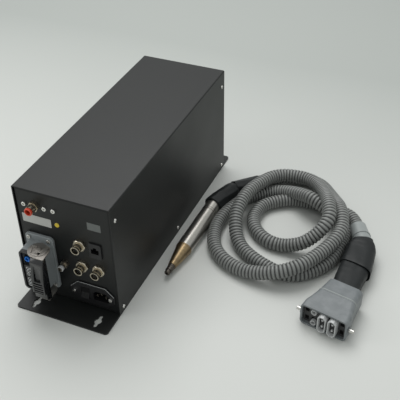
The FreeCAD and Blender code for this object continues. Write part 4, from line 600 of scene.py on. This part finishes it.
def repeater():
    """Tree that sets a copy of one thing at every point, turned to the point's own facing."""
    sheet = GeometrySheet("repeater", {"Thing": "Object", "Size": "Float", "Material": "Material"})
    thing = sheet.add("GeometryNodeObjectInfo", None, {"Object": sheet.given("Thing")}, output="Geometry")
    way = sheet.add("GeometryNodeInputNamedAttribute", {"data_type": "FLOAT_VECTOR"}, {"Name": "facing"})
    turn = sheet.add("FunctionNodeAlignRotationToVector", {"axis": "Z"}, {"Vector": way})
    copies = sheet.add("GeometryNodeInstanceOnPoints", None, {
        "Points": sheet.given("Geometry"), "Instance": thing, "Rotation": turn, "Scale": sheet.given("Size"),
    })
    sheet.finish(copies)
    return sheet


CORRUGATION = corrugation()
REPEATER = repeater()


def repeat(name, template, places, body, slot, replaced=(), size=1.0):
    """One piece made of copies of a mesh that stands on Z at the origin, at (place, facing) pairs."""
    points = bpy.data.meshes.new(name + "_points")
    points.from_pydata([place for place, _ in places], [], [])
    ways = points.attributes.new("facing", "FLOAT_VECTOR", "POINT")
    for entry, (_, way) in zip(ways.data, places):
        entry.vector = way
    thing = bpy.data.objects.new(name + "_template", template)
    holder = bpy.data.objects.new(name + "_points", points)
    for helper in (thing, holder):
        bpy.context.scene.collection.objects.link(helper)
    mesh = REPEATER.run_on(holder, {"Thing": thing, "Size": size, "Material": FINISHES[slot].material})
    bpy.data.objects.remove(thing)
    return piece(name, mesh, body, slot, *replaced)


# Locking lever. Places are from the cam plate's middle; the plate turns on a rivet beside it.
CAM_MIDDLE_MM = (-31.0, -21.6)
CAM_RADIUS_MM = 15.8
CAM_STEP_RADIUS_MM = 13.2
CAM_NECK_MM = ((0, -16.4), (15.0, -16.4), (16.5, -14.9), (15.8, -0.6))
CAM_RIDGE_MM = ((-12.4, 1.4), (-4.4, 4.8), (-4.2, 3.0), (-9.0, 0.4), (-5.8, -9.6), (-7.8, -10.2))
CAM_HOLE_MM = (4.5, -7.4)
CAM_HOLE_RADIUS_MM = 2.2
CAM_BOSS = ((0.0012, 0), (0.004, 0), (0.004, 0.0007), (0.0035, 0.0011), (0.0012, 0.0011))
CAM_DRILL_PAST_MM = 5.0
CAM_OUTLINE_DEGREES = 6
CAM_NECK_DEGREES = 270
CAM_FLAT_DEGREES = 72.0
CAM_FLAT_MM = 13.7
CAM_STEP_FLAT_MM = 11.4
CAM_FACES_MM = ((108.3, 1), (34.7, -1))
CAM_SHEET_MM = 1.5
CAM_STEP_MM = 1.1
CAM_RIDGE_HIGH_MM = 1.7
GRIP_FRONT_MM = ((0.0, -16.6), (4.6, -21.0), (15.0, -21.0), (27.0, -23.2), (42.0, -24.6), (58.0, -24.4))
GRIP_SIDES_MM = (-3.0, 17.0)
GRIP_BACK_MM = -10.0
GRIP_RELIEF_MM = ((-5, 3), (-5, -15.5), (3.4, -15.5), (7.5, -10.4), (14, -9.9), (14, 3))
GRIP_POCKET_MM = (10.0, 4.6, 26.0)
GRIP_POCKET_DROP_MM = 24.0
GRIP_EDGE_MM = 0.7
GRIP_RIBS = 5
GRIP_RIB_PITCH_MM = 4.4
GRIP_RIB_WIDE_MM = 2.0
GRIP_RIB_DEEP_MM = 3.5
GRIP_RIB_MARGIN_MM = 2.5
RIVET_RADIUS_MM = 2.0
RIVET_ROOT_MM = 2.5
RIVET_PROUD_MM = 0.4


def from_cam(x, y, z=0.0):
    """A place measured from the cam plate's middle."""
    return (CAM_MIDDLE_MM[0] + x, CAM_MIDDLE_MM[1] + y, z)


def cam_disc(radius, flat, z, neck=()):
    """A round outline with one flat, and with a square neck in front where it is given."""
    flat_way = level_way(CAM_FLAT_DEGREES)
    last = CAM_NECK_DEGREES if neck else 360 - CAM_OUTLINE_DEGREES
    outline = []
    for degrees in range(0, last + 1, CAM_OUTLINE_DEGREES):
        point = level_way(degrees) * radius
        point -= flat_way * max(0.0, point.dot(flat_way) - flat)
        outline.append(from_cam(point.x, point.y, z))
    return outline + [from_cam(x, y, z) for x, y in neck]


def box_step(low, high):
    """A build step for a straight block between two corners in millimetres."""
    (x0, y0, z0), (x1, y1, z1) = low, high
    return prism([(x0, y0, z0), (x1, y0, z0), (x1, y1, z0), (x0, y1, z0)], (0, 0, z1 - z0))


def cam_plate(face, way):
    """One end's plate: disc and neck, a step, a ridge and a round boss, stacked outwards from its face."""
    step = face + way * (CAM_SHEET_MM - OVERLAP_MM)
    crest = face + way * (CAM_SHEET_MM + CAM_STEP_MM - OVERLAP_MM)
    boss = facing(Vector(from_cam(0, 0, crest)) * MM, UP * way)
    return together(
        prism(cam_disc(CAM_RADIUS_MM, CAM_FLAT_MM, face, CAM_NECK_MM), UP * way * CAM_SHEET_MM),
        prism(cam_disc(CAM_STEP_RADIUS_MM, CAM_STEP_FLAT_MM, step), UP * way * (CAM_STEP_MM + OVERLAP_MM)),
        prism([from_cam(x, y, crest) for x, y in CAM_RIDGE_MM], UP * way * (CAM_RIDGE_HIGH_MM + OVERLAP_MM)),
        lathe(CAM_BOSS, 28, boss),
    )


def make_cam_plates():
    plates = together(*[cam_plate(face, way) for face, way in CAM_FACES_MM])
    (top, _), (bottom, _) = CAM_FACES_MM
    radius = CAM_HOLE_RADIUS_MM * MM
    start = facing(Vector(from_cam(*CAM_HOLE_MM, bottom - CAM_DRILL_PAST_MM)) * MM, UP)
    drill = lathe(((radius, 0), (radius, (top - bottom + 2 * CAM_DRILL_PAST_MM) * MM)), 20, start)
    mesh = carved("cam_plates", plates, [drill], FINE_EDGE_MM)
    piece("cam_plates", mesh, "locking_lever", "lever_steel", "lever_arms")


def make_grip():
    (high, _), (low, _) = CAM_FACES_MM
    left, right = GRIP_SIDES_MM
    side = [from_cam(left, y, high - drop) for drop, y in GRIP_FRONT_MM]
    side += [from_cam(left, y, low + drop) for drop, y in reversed(GRIP_FRONT_MM[:3])]
    side += [from_cam(left, GRIP_BACK_MM, low), from_cam(left, GRIP_BACK_MM, high)]
    deepest = min(y for _, y in GRIP_FRONT_MM)
    middle = (left + right) / 2
    wide, deep, tall = GRIP_POCKET_MM
    top = high - GRIP_POCKET_DROP_MM + tall / 2
    relief = [from_cam(x, y, low - CUT_PAST_MM) for x, y in GRIP_RELIEF_MM]
    outside = deepest - CUT_PAST_MM
    tools = [
        prism(relief, UP * (high - low + 2 * CUT_PAST_MM)),
        box_step(
            from_cam(middle - wide / 2, outside, top - tall), from_cam(middle + wide / 2, deepest + deep, top)
        ),
    ]
    for i in range(GRIP_RIBS):
        z = low + GRIP_FRONT_MM[2][0] + i * GRIP_RIB_PITCH_MM
        tools.append(box_step(
            from_cam(left + GRIP_RIB_MARGIN_MM, outside, z),
            from_cam(right - GRIP_RIB_MARGIN_MM, deepest + GRIP_RIB_DEEP_MM, z + GRIP_RIB_WIDE_MM),
        ))
    grip = carved("lever_handle", prism(side, (right - left, 0, 0)), tools, GRIP_EDGE_MM)
    piece("lever_handle", grip, "locking_lever", "grip_plastic", "lever_grip")


def make_lever_rivets():
    """Rivets at the joint's own axis, through both plates."""
    axis = next(joint for joint in frame["joints"] if joint["name"] == "lever_swing")["pos_m"]
    rim = RIVET_RADIUS_MM * MM
    reach = (RIVET_ROOT_MM + CAM_SHEET_MM + CAM_STEP_MM + RIVET_PROUD_MM) * MM
    rivets = []
    for face, way in CAM_FACES_MM:
        start = facing(Vector((axis[0], axis[1], (face - way * RIVET_ROOT_MM) * MM)), UP * way)
        rivets.append(lathe(((rim, 0), (rim, reach - 0.0003), (rim - 0.0005, reach)), 20, start))
    mesh = mesh_from("lever_rivets", together(*rivets), SMOOTH_DEGREES)
    piece("lever_rivets", mesh, "case", "bright_steel", "lever_pivots")


# Socket's inside: an air block with its spigot and ring, and two contact blocks that reach the rim
BLOCK_SIDES_MM = (-55.05, -27.95)
BLOCK_BACK_MM = -5.0
AIR_BLOCK_MM = (81.25, 102.15, -14.0)
CONTACT_BLOCKS_MM = ((59.25, 80.55, -29.0), (40.85, 58.55, -29.0))
CONTACT_NODES = {"voltage_block": "high_voltage_module", "signal_block": "signal_module"}
CONTACT_COLUMNS = (-1.5, -0.5, 0.5, 1.5)
CONTACT_ROWS = (-1, 0, 1)
CONTACT_PITCH_MM = 5.6
CONTACT_RADIUS_MM = 1.6
CONTACT_DEEP_MM = 8.0
BLOCK_EDGE_MM = 0.3
AIR_PLACE_MM = (-50.9, 88.9)
SPIGOT_FRONT_MM = -22.5
SPIGOT_ROOT_MM = 1.0
AIR_RING_GAP_MM = 1.2
AIR_RING_LOOP = (
    (0.0025, -0.004), (0.0035, -0.004), (0.0035, 0), (0.0046, 0), (0.0046, 0.0018), (0.004, 0.0024),
    (0.0031, 0.0024), (0.0025, 0.0018),
)
EYE_LOOP = ((0.0015, -0.0003), (0.0026, -0.0003), (0.0026, 0.0004), (0.0021, 0.0007), (0.0015, 0.0004))


def block_step(low, high, front):
    """A build step for a contact block, from its front to the common back."""
    left, right = BLOCK_SIDES_MM
    return box_step((left, front, low), (right, BLOCK_BACK_MM, high))


def make_air_block():
    low, high, front = AIR_BLOCK_MM
    x, z = AIR_PLACE_MM
    root = facing(Vector((x, front + SPIGOT_ROOT_MM, z)) * MM, FRONT)
    reach = (front + SPIGOT_ROOT_MM - SPIGOT_FRONT_MM) * MM
    loop = ((0.0025, 0), (0.0052, 0), (0.0052, reach - 0.0004), (0.0048, reach), (0.0025, reach))
    block = together(block_step(low, high, front), hollow(loop, 28, root))
    piece("air_block", mesh_from("air_block", block, SMOOTH_DEGREES), "case", "insert_black", "air_module")

    lip = facing(Vector((x, SPIGOT_FRONT_MM - AIR_RING_GAP_MM, z)) * MM, FRONT)
    ring = mesh_from("air_ring", hollow(AIR_RING_LOOP, 32, lip), SMOOTH_DEGREES)
    piece("air_ring", ring, "air_module_ring", "blue_plastic", "air_module_ring")


def make_contact_blocks():
    middle = sum(BLOCK_SIDES_MM) / 2
    radius = CONTACT_RADIUS_MM * MM
    eyes = []
    for (label, node), (low, high, front) in zip(CONTACT_NODES.items(), CONTACT_BLOCKS_MM):
        drills = []
        for column in CONTACT_COLUMNS:
            for row in CONTACT_ROWS:
                x = middle + column * CONTACT_PITCH_MM
                z = (low + high) / 2 + row * CONTACT_PITCH_MM
                outside = facing(Vector((x, front - CUT_PAST_MM, z)) * MM, -FRONT)
                drills.append(lathe(((radius, 0), (radius, CONTACT_DEEP_MM * MM)), 14, outside))
                eyes.append((Vector((x, front, z)) * MM, FRONT))
        solid = carved(label, block_step(low, high, front), [together(*drills)], BLOCK_EDGE_MM)
        piece(label, solid, "case", "insert_black", node)
    eye = mesh_from("eye", hollow(EYE_LOOP, 14), SMOOTH_DEGREES)
    repeat("contact_eyes", eye, eyes, "case", "contact_grey")


# Plug's contacts, in the plug's own directions: across, back from the mouth, and up
PLUG_MIDDLE_MM = (351.3, 80.2, 19.1)
PLUG_TURN_DEGREES = -11.3
SHROUD_PLACES_MM = (-0.2, 15.2)
SHROUD_MM = (12.5, 29.0, 3.8)
SHROUD_WALL_MM = 1.4
SHROUD_REACH_MM = (-6.0, 5.3)
MOUTH_CORNER_MM = 3.0
WELL_GAP_MM = 0.1
WELL_REACH_MM = (0.5, 5.0)
SMALL_CONTACTS_MM = ((-15.2, 10.0), (-15.2, -10.0))
SMALL_RING_LOOP = (
    (0.003, 0), (0.0044, 0), (0.0044, 0.0049), (0.004, 0.0053), (0.0034, 0.0053), (0.003, 0.0048),
)
PIN_ROOT_MM = 4.0
PIN_HEIGHTS_MM = (-5.8, 5.8)
PIN_PROFILE = ((0.0018, 0), (0.0018, 0.0062), (0.0012, 0.007))


def plug_way():
    """From the plug's own directions to the scene's."""
    turn = Matrix.Rotation(math.radians(PLUG_TURN_DEGREES), 4, "Z")
    return Matrix.Translation(Vector(PLUG_MIDDLE_MM) * MM) @ turn


def octagon(x, y, wide, tall, corner):
    """An upright outline with its corners cut off."""
    w, h = wide / 2, tall / 2
    around = (
        (w, corner - h), (w, h - corner), (w - corner, h), (corner - w, h),
        (-w, h - corner), (-w, corner - h), (corner - w, -h), (w - corner, -h),
    )
    return [(x + dx, y, dz) for dx, dz in around]


def make_plug_contacts():
    """Two shrouds, dark blocks inside them as painted shade, the pins in them and two small ring contacts."""
    where = plug_way()
    wide, tall, corner = SHROUD_MM
    mouth_wide, mouth_tall = wide - 2 * SHROUD_WALL_MM, tall - 2 * SHROUD_WALL_MM

    def blocks(reach, *size):
        """One build step for an octagonal block at each shroud, from the first reach back to the second."""
        start, end = reach
        sweep = (0, end - start, 0)
        return together(*[prism(octagon(x, start, *size), sweep, where) for x in SHROUD_PLACES_MM])

    front, back = SHROUD_REACH_MM
    mouths = blocks((front - CUT_PAST_MM, back - 3 * CUT_PAST_MM), mouth_wide, mouth_tall, MOUTH_CORNER_MM)
    shells = carved("plug_shrouds", blocks(SHROUD_REACH_MM, wide, tall, corner), [mouths], FINE_EDGE_MM)
    piece("plug_shrouds", shells, "torch_lead", "contact_grey", "plug_contacts")

    # Dark blocks at the back of the shroud mouths: painted shade for their deep insides.
    gap = 2 * WELL_GAP_MM
    shade_wells = blocks(WELL_REACH_MM, mouth_wide - gap, mouth_tall - gap, MOUTH_CORNER_MM)
    mesh = mesh_from("plug_wells", shade_wells, SMOOTH_DEGREES)
    piece("plug_wells", mesh, "torch_lead", "insert_black", "plug_contacts")

    rounds = []
    for x, z in SMALL_CONTACTS_MM:
        rounds.append(hollow(SMALL_RING_LOOP, 24, where @ facing(Vector((x, back, z)) * MM, FRONT)))
    for x in SHROUD_PLACES_MM:
        for z in PIN_HEIGHTS_MM:
            rounds.append(lathe(PIN_PROFILE, 16, where @ facing(Vector((x, PIN_ROOT_MM, z)) * MM, FRONT)))
    eyes = mesh_from("plug_eyes", together(*rounds), SMOOTH_DEGREES)
    piece("plug_eyes", eyes, "torch_lead", "contact_grey", "plug_contacts")


# Fasteners, fine trim and a painted highlight
def bead(path, radius, where, sides=10):
    """A build step for a thin round bead along a path of (x, z) points in one upright plane."""
    def build(bm):
        turns = [2 * math.pi * k / sides for k in range(sides)]
        rings = []
        for i, point in enumerate(path):
            before, after = path[max(i - 1, 0)], path[min(i + 1, len(path) - 1)]
            way = Vector((after[0] - before[0], 0, after[1] - before[1])).normalized()
            out = Vector((-way.z, 0, way.x))
            middle = Vector((point[0], 0, point[1]))
            ring = [middle + out * radius * math.cos(a) + FRONT * radius * math.sin(a) for a in turns]
            rings.append([bm.verts.new(where @ (p * MM)) for p in ring])
        skin(bm, rings)
    return build


# The ridge round the hood: half its width, its top, its corner's radius and where its legs end
HOOD_RIDGE_BACK_MM = 43.0
HOOD_RIDGE_MM = (28.6, 18.7, 8.0, -6.0)
HOOD_BEAD_MM = 1.3
# A light bead along the top and right of the inlet flange: a painted highlight where the flange's edge catches the
# light.
INLET_HIGHLIGHT_FRONT_MM = 0.8
INLET_HIGHLIGHT_RADIUS_MM = 0.32
INLET_HIGHLIGHT_PATH_MM = ((-1.8, 34.4), (-1.2, 35.3), (10.2, 46.7), (11.3, 47.2), (54.8, 47.2),
                 (55.8, 46.7), (67.2, 35.3), (67.8, 34.4))
SCREW_SEATS_MM = {"cover_screws": 75.0, "panel_screws": 1.5, "socket_screws": -4.0, "inlet_screws": -1.0}
SCREW_SIZES = {"cover_screws": 1.0, "panel_screws": 3.4 / 3.0, "socket_screws": 1.0, "inlet_screws": 1.0}
DOMED_HEAD = ((0.003, -0.0005), (0.003, 0.0004), (0.0027, 0.0012), (0.0021, 0.0017), (0.0013, 0.0020))
UPRIGHT_HEAD = ((0.003, -0.0005), (0.003, 0.0018), (0.0027, 0.0022))
HEX_RADIUS_MM = 1.6
HEX_FLOOR_MM = 0.3


def make_ridge_and_inlet_highlight():
    half, top, corner, foot = HOOD_RIDGE_MM
    path = [(-half, foot), (-half, top - corner)]
    for degrees in range(15, 91, 15):
        a = math.radians(degrees)
        path.append((-half + corner * (1 - math.cos(a)), top - corner * (1 - math.sin(a))))
    path += [(-x, z) for x, z in reversed(path)]
    where = plug_way() @ Matrix.Translation((0, HOOD_RIDGE_BACK_MM * MM, 0))
    ridge = mesh_from("hood_ridge", bead(path, HOOD_BEAD_MM, where), BEAD_SMOOTH_DEGREES)
    piece("hood_ridge", ridge, "torch_lead", "cuff_grey")
    # Painted highlight: a light grey bead on the black flange's lit edges.
    where = Matrix.Translation(FRONT * INLET_HIGHLIGHT_FRONT_MM * MM)
    edge = mesh_from("inlet_edge", bead(INLET_HIGHLIGHT_PATH_MM, INLET_HIGHLIGHT_RADIUS_MM, where), BEAD_SMOOTH_DEGREES)
    piece("inlet_edge", edge, "case", "contact_grey")


def screw_template(node):
    """A screw head standing on Z: domed on the sides, upright elsewhere, each with a hex recess."""
    profile = DOMED_HEAD if node == "cover_screws" else UPRIGHT_HEAD
    key = [level_way(60 * i) * HEX_RADIUS_MM + UP * HEX_FLOOR_MM for i in range(6)]
    return carved(node + "_head", lathe(profile, 24), [prism(key, UP * 3)], edge_mm=0)


def make_screws():
    for node, seat in SCREW_SEATS_MM.items():
        places = []
        template = screw_template(node)
        for low, high in solids_of(node):
            middle = (low + high) / 2
            if node == "cover_screws":
                way = RIGHT if middle.x > 0 else -RIGHT
                middle.x = way.x * seat * MM
            else:
                way = FRONT
                middle.y = seat * MM
            places.append((middle, way))
        repeat(node + "_heads", template, places, "case", SLOT_OF[node], [node], SCREW_SIZES[node])


# Hose
def hose_controls():
    """The hose's control points: out of the tail sleeve, round the loose coil, and on to the cuff."""
    points = [Vector(p) * MM for p in HOSE_START_MM]
    reaches = [reach for turn in COIL_REACH_MM for reach in turn]
    lifts = [lift for turn in COIL_LIFT_MM for lift in turn]
    for station, (reach, lift) in enumerate(zip(reaches, lifts)):
        angle = math.radians(COIL_START_DEGREES - station * 360 / COIL_STATIONS)
        x = COIL_CENTRE_MM[0] + reach * math.cos(angle)
        y = COIL_CENTRE_MM[1] + reach * math.sin(angle)
        points.append(Vector((x, y, HOSE_REST_MM + lift)) * MM)
    return points + [Vector(p) * MM for p in HOSE_RUN_MM]


def nurbs_route(name, points):
    """An open smooth curve object with these control points."""
    curve = bpy.data.curves.new(name, "CURVE")
    curve.dimensions = "3D"
    curve.resolution_u = 16
    spline = curve.splines.new("NURBS")
    spline.points.add(len(points) - 1)
    for control, point in zip(spline.points, points):
        control.co = (*point, 1)
    spline.order_u = 3
    spline.use_endpoint_u = True
    route = bpy.data.objects.new(name, curve)
    bpy.context.scene.collection.objects.link(route)
    bpy.context.view_layer.update()
    return route


def line_of(route):
    """The points that a curve without a bevel runs through."""
    seen = route.evaluated_get(bpy.context.evaluated_depsgraph_get())
    line = bpy.data.meshes.new_from_object(seen)
    points = [v.co.copy() for v in line.vertices]
    bpy.data.meshes.remove(line)
    return points


def length_of(points):
    return sum((b - a).length for a, b in zip(points, points[1:]))


def make_hose():
    route = nurbs_route("hose_route", hose_controls())
    line = line_of(route)
    mesh = CORRUGATION.run_on(route, {
        "Rib pitch": RIB_PITCH, "Crown radius": HOSE_DIAMETER / 2, "Rib depth": RIB_DEPTH,
        "Steps per rib": RIB_STEPS, "Sides": HOSE_SIDES, "Material": FINISHES["hose_grey"].material,
    })
    hose = piece("corrugated_hose", mesh, "torch_lead", "hose_grey", "hose_coil", "hose_run")
    print("hose length", round(length_of(line), 4))


# Heat-shrink wraps. A station is a place, half its width, half its height, the turn of its flats
# and the compass turn of its width, in millimetres and degrees.
WRAP_SIDES = 72
WRAP_STEP_MM = 2.2
FLOOR_GAP_MM = 0.25
TORCH_WRAP = (
    ((110.0, 274.0, 15.3), 13.1, 13.1, 0, -4),
    ((109.2, 269.4, 15.4), 13.3, 13.3, 0, -4),
    ((109.2, 268.8, 15.6), 15.6, 15.2, 0, -8),
    ((109.4, 270.2, 15.8), 16.6, 16.2, 2, -10),
    ((113.6, 288.0, 15.9), 16.4, 16.0, 8, -13),
    ((118.6, 306.0, 15.6), 15.4, 15.2, 15, -15),
    ((123.2, 322.0, 14.8), 14.4, 14.4, 24, -17),
    ((124.6, 327.0, 14.4), 13.2, 13.6, 28, -20),
    ((125.4, 330.0, 14.2), 12.0, 12.4, 30, -22),
)
TAIL_WRAP = (
    ((128.5, 334.0, 13.8), 12.2, 12.0, 0, -36),
    ((125.6, 330.4, 14.2), 13.0, 12.8, 0, -36),
    ((125.4, 330.2, 14.3), 14.3, 13.8, 4, -36),
    ((127.4, 332.8, 14.1), 14.0, 13.6, 8, -38),
    ((137.0, 343.8, 13.4), 12.9, 12.9, 16, -41),
    ((147.0, 355.4, 12.9), 12.1, 12.3, 24, -42),
    ((156.4, 366.4, 12.5), 11.7, 12.0, 30, -42),
    ((156.8, 366.8, 12.5), 11.2, 11.4, 30, -42),
    ((153.0, 362.4, 12.6), 11.0, 11.1, 30, -42),
)
HOOD_WRAP = (
    ((366.2, 142.0, 16.2), 20.3, 12.3, 0, -11.3),
    ((365.0, 148.8, 16.2), 20.5, 12.5, 0, -11.3),
    ((363.2, 162.0, 16.2), 20.9, 12.8, 0, -8.0),
    ((363.2, 176.0, 16.2), 21.2, 12.7, 0, -5.0),
    ((365.4, 200.0, 16.2), 22.6, 12.6, 0, -2.5),
    ((365.4, 222.0, 16.2), 22.0, 13.0, 0, 2.0),
)
CUFF_WRAP = (
    ((366.2, 216.0, 16.3), 22.4, 13.3, 0, 0),
    ((366.4, 205.2, 16.3), 23.0, 13.6, 0, -1.5),
    ((366.4, 204.6, 16.4), 24.4, 14.8, 0, -1.5),
    ((366.2, 207.0, 16.4), 24.7, 15.1, 0, -1.0),
    ((365.2, 232.0, 16.4), 23.6, 15.2, 0, 4.0),
    ((364.2, 251.0, 16.6), 22.4, 15.4, 0, 12.0),
    ((363.8, 257.0, 16.8), 20.2, 15.8, 0, 20.0),
    ((363.0, 263.0, 16.6), 17.0, 15.9, 0, 25.0),
    ((362.6, 267.0, 16.4), 16.2, 15.7, 0, 26.0),
    ((362.4, 267.4, 16.4), 14.8, 14.6, 0, 26.0),
    ((363.6, 264.0, 16.2), 14.2, 14.2, 0, 26.0),
)
FOLD_SLANT = -0.22
WRAP_FLATS = 7
FLAT_SHARE = 0.75
FLAT_LIMIT = 0.985
BOX_POWER = 3.2
LONG_FOLD_MM = 26
SHORT_FOLD_MM = 7
LONG_FOLD_TURNS = 2.2
SHORT_FOLD_TURNS = 0.9
SHORT_FOLD_SHIFT = 9
SLEEVE_PUCKER_MM = 0.5
BOX_PUCKER_MM = 0.7


def stations_between(stations):
    """The stations with even steps filled in between those that lie apart."""
    yield stations[0]
    for here, there in zip(stations, stations[1:]):
        distance = (Vector(there[0]) - Vector(here[0])).length
        steps = max(1, round(distance / WRAP_STEP_MM))
        for step in range(1, steps + 1):
            share = step / steps
            place = Vector(here[0]).lerp(Vector(there[0]), share)
            yield (place, *[a + (b - a) * share for a, b in zip(here[1:], there[1:])])


def soft_flats(angle, turn):
    """How far out a ring with softened flats stands at this angle, as a share of its circle."""
    step = 2 * math.pi / WRAP_FLATS
    off = (angle + turn) % step - step / 2
    flat = math.cos(step / 2) / math.cos(off)
    return 1 - FLAT_SHARE + FLAT_SHARE * min(flat, FLAT_LIMIT)


def soft_box(angle, _):
    """The same for a ring between a rectangle and an oval, which has no turn."""
    return (abs(math.cos(angle)) ** BOX_POWER + abs(math.sin(angle)) ** BOX_POWER) ** (-1 / BOX_POWER)


def shrink_wrap(name, stations, outline, pucker_mm, replaced, slant=0.0):
    """A shrunk tube through its stations, puckered and kept off the floor."""
    def build(bm):
        rings = []
        for place, half_width, half_height, turn, compass in stations_between(stations):
            across = level_way(compass)
            along = Vector((-across.y, across.x, 0))
            mid_x, mid_y, _ = place
            ring = []
            for side in range(WRAP_SIDES):
                angle = 2 * math.pi * side / WRAP_SIDES
                reach = outline(angle, math.radians(turn))
                x = half_width * reach * math.cos(angle)
                z = half_height * reach * math.sin(angle)
                point = Vector(place) + across * x + UP * z + along * (slant * x)
                long_fold = Vector((angle * LONG_FOLD_TURNS, mid_y / LONG_FOLD_MM, mid_x / LONG_FOLD_MM))
                short_fold = Vector((
                    angle * SHORT_FOLD_TURNS, mid_y / SHORT_FOLD_MM, mid_x / SHORT_FOLD_MM + SHORT_FOLD_SHIFT,
                ))
                swell = (noise.noise(long_fold) + noise.noise(short_fold) * 0.5) * pucker_mm
                point += (across * math.cos(angle) + UP * math.sin(angle)) * swell
                point.z = max(point.z, FLOOR_GAP_MM)
                ring.append(bm.verts.new(point * MM))
            rings.append(ring)
        skin(bm, rings)
    mesh = mesh_from(name, build, WRAP_SMOOTH_DEGREES)
    return piece(name, mesh, "torch_lead", "shrink_black", *replaced)


def make_wraps():
    shrink_wrap("torch_wrap", TORCH_WRAP, soft_flats, SLEEVE_PUCKER_MM, ["torch_sleeve"])
    shrink_wrap("tail_wrap", TAIL_WRAP, soft_flats, SLEEVE_PUCKER_MM, ["tail_sleeve"])
    shrink_wrap("hood_wrap", HOOD_WRAP, soft_box, BOX_PUCKER_MM, ["plug_sleeve"])
    shrink_wrap("cuff_wrap", CUFF_WRAP, soft_box, BOX_PUCKER_MM, ["plug_sleeve"], FOLD_SLANT)


# Stage. The floor darkens from FLOOR_FADE_Y on, a painted shade further back; a lamp has a place, an aim, a size
# and its watts.
FLOOR_HALF = 6.0
FLOOR_PALE = (0.63, 0.64, 0.615)
FLOOR_FAR_SHADE = (0.4, 0.42, 0.4)
FLOOR_FADE_Y = 0.2
FLOOR_FADE_RATE = 1.5
SKY_COLOUR = (0.93, 0.96, 0.95, 1)
SKY_STRENGTH = 0.62
LAMPS = {
    "lamp_over": ((-0.35, 0.9, 1.9), (0.15, 0.1, 0.0), 1.6, 26),
    "lamp_left": ((-1.6, -0.7, 1.1), (0.1, 0.1, 0.05), 1.0, 5),
}


def make_stage():
    """Pale floor with painted shade further back, even sky, a broad soft lamp overhead and a weak one from the
    left.
    """
    half = FLOOR_HALF
    corners = [(-half, -half, 0), (half, -half, 0), (half, half, 0), (-half, half, 0)]
    mesh = bpy.data.meshes.new("floor")
    mesh.from_pydata(corners, [], [(0, 1, 2, 3)])
    floor = bpy.data.objects.new("floor", mesh)
    bpy.context.scene.collection.objects.link(floor)
    pale = Finish("floor_pale", FLOOR_PALE, 0.6)
    # Painted shade: the floor is tinted darker with distance back, with a little random tone.
    distance = pale.bounded((pale.along("Y") - FLOOR_FADE_Y) * FLOOR_FADE_RATE)
    pale.tint(pale.bounded(distance + pale.cloud(0.5, 2.0) * 0.12), FLOOR_FAR_SHADE)
    mesh.materials.append(pale.material)
    world = bpy.data.worlds.new("soft_sky")
    bpy.context.scene.world = world
    world.use_nodes = True
    sky = world.node_tree.nodes["Background"]
    sky.inputs["Color"].default_value = SKY_COLOUR
    sky.inputs["Strength"].default_value = SKY_STRENGTH
    for name, values in LAMPS.items():
        lamp(name, *values)


def lamp(name, place, target, size, watts):
    light = bpy.data.lights.new(name, "AREA")
    light.shape = "DISK"
    light.size = size
    light.energy = watts
    thing = bpy.data.objects.new(name, light)
    thing.location = place
    thing.rotation_euler = (Vector(target) - Vector(place)).to_track_quat("-Z", "Y").to_euler()
    bpy.context.scene.collection.objects.link(thing)


def make_camera():
    lens = bpy.data.cameras.new("photo_camera")
    lens.sensor_width = SENSOR_MM
    lens.lens = FOCAL_PIXELS / PICTURE_WIDTH * SENSOR_MM
    camera = bpy.data.objects.new("photo_camera", lens)
    camera.location = CAMERA_PLACE
    camera.rotation_euler = [math.radians(a) for a in CAMERA_TURN_DEGREES]
    bpy.context.scene.collection.objects.link(camera)
    bpy.context.scene.camera = camera


bpy.context.scene.view_settings.view_transform = "Standard"
dress_nodes()
make_cam_plates()
make_grip()
make_lever_rivets()
make_air_block()
make_contact_blocks()
make_plug_contacts()
make_ridge_and_inlet_highlight()
make_screws()
make_wraps()
make_hose()
make_stage()
make_camera()
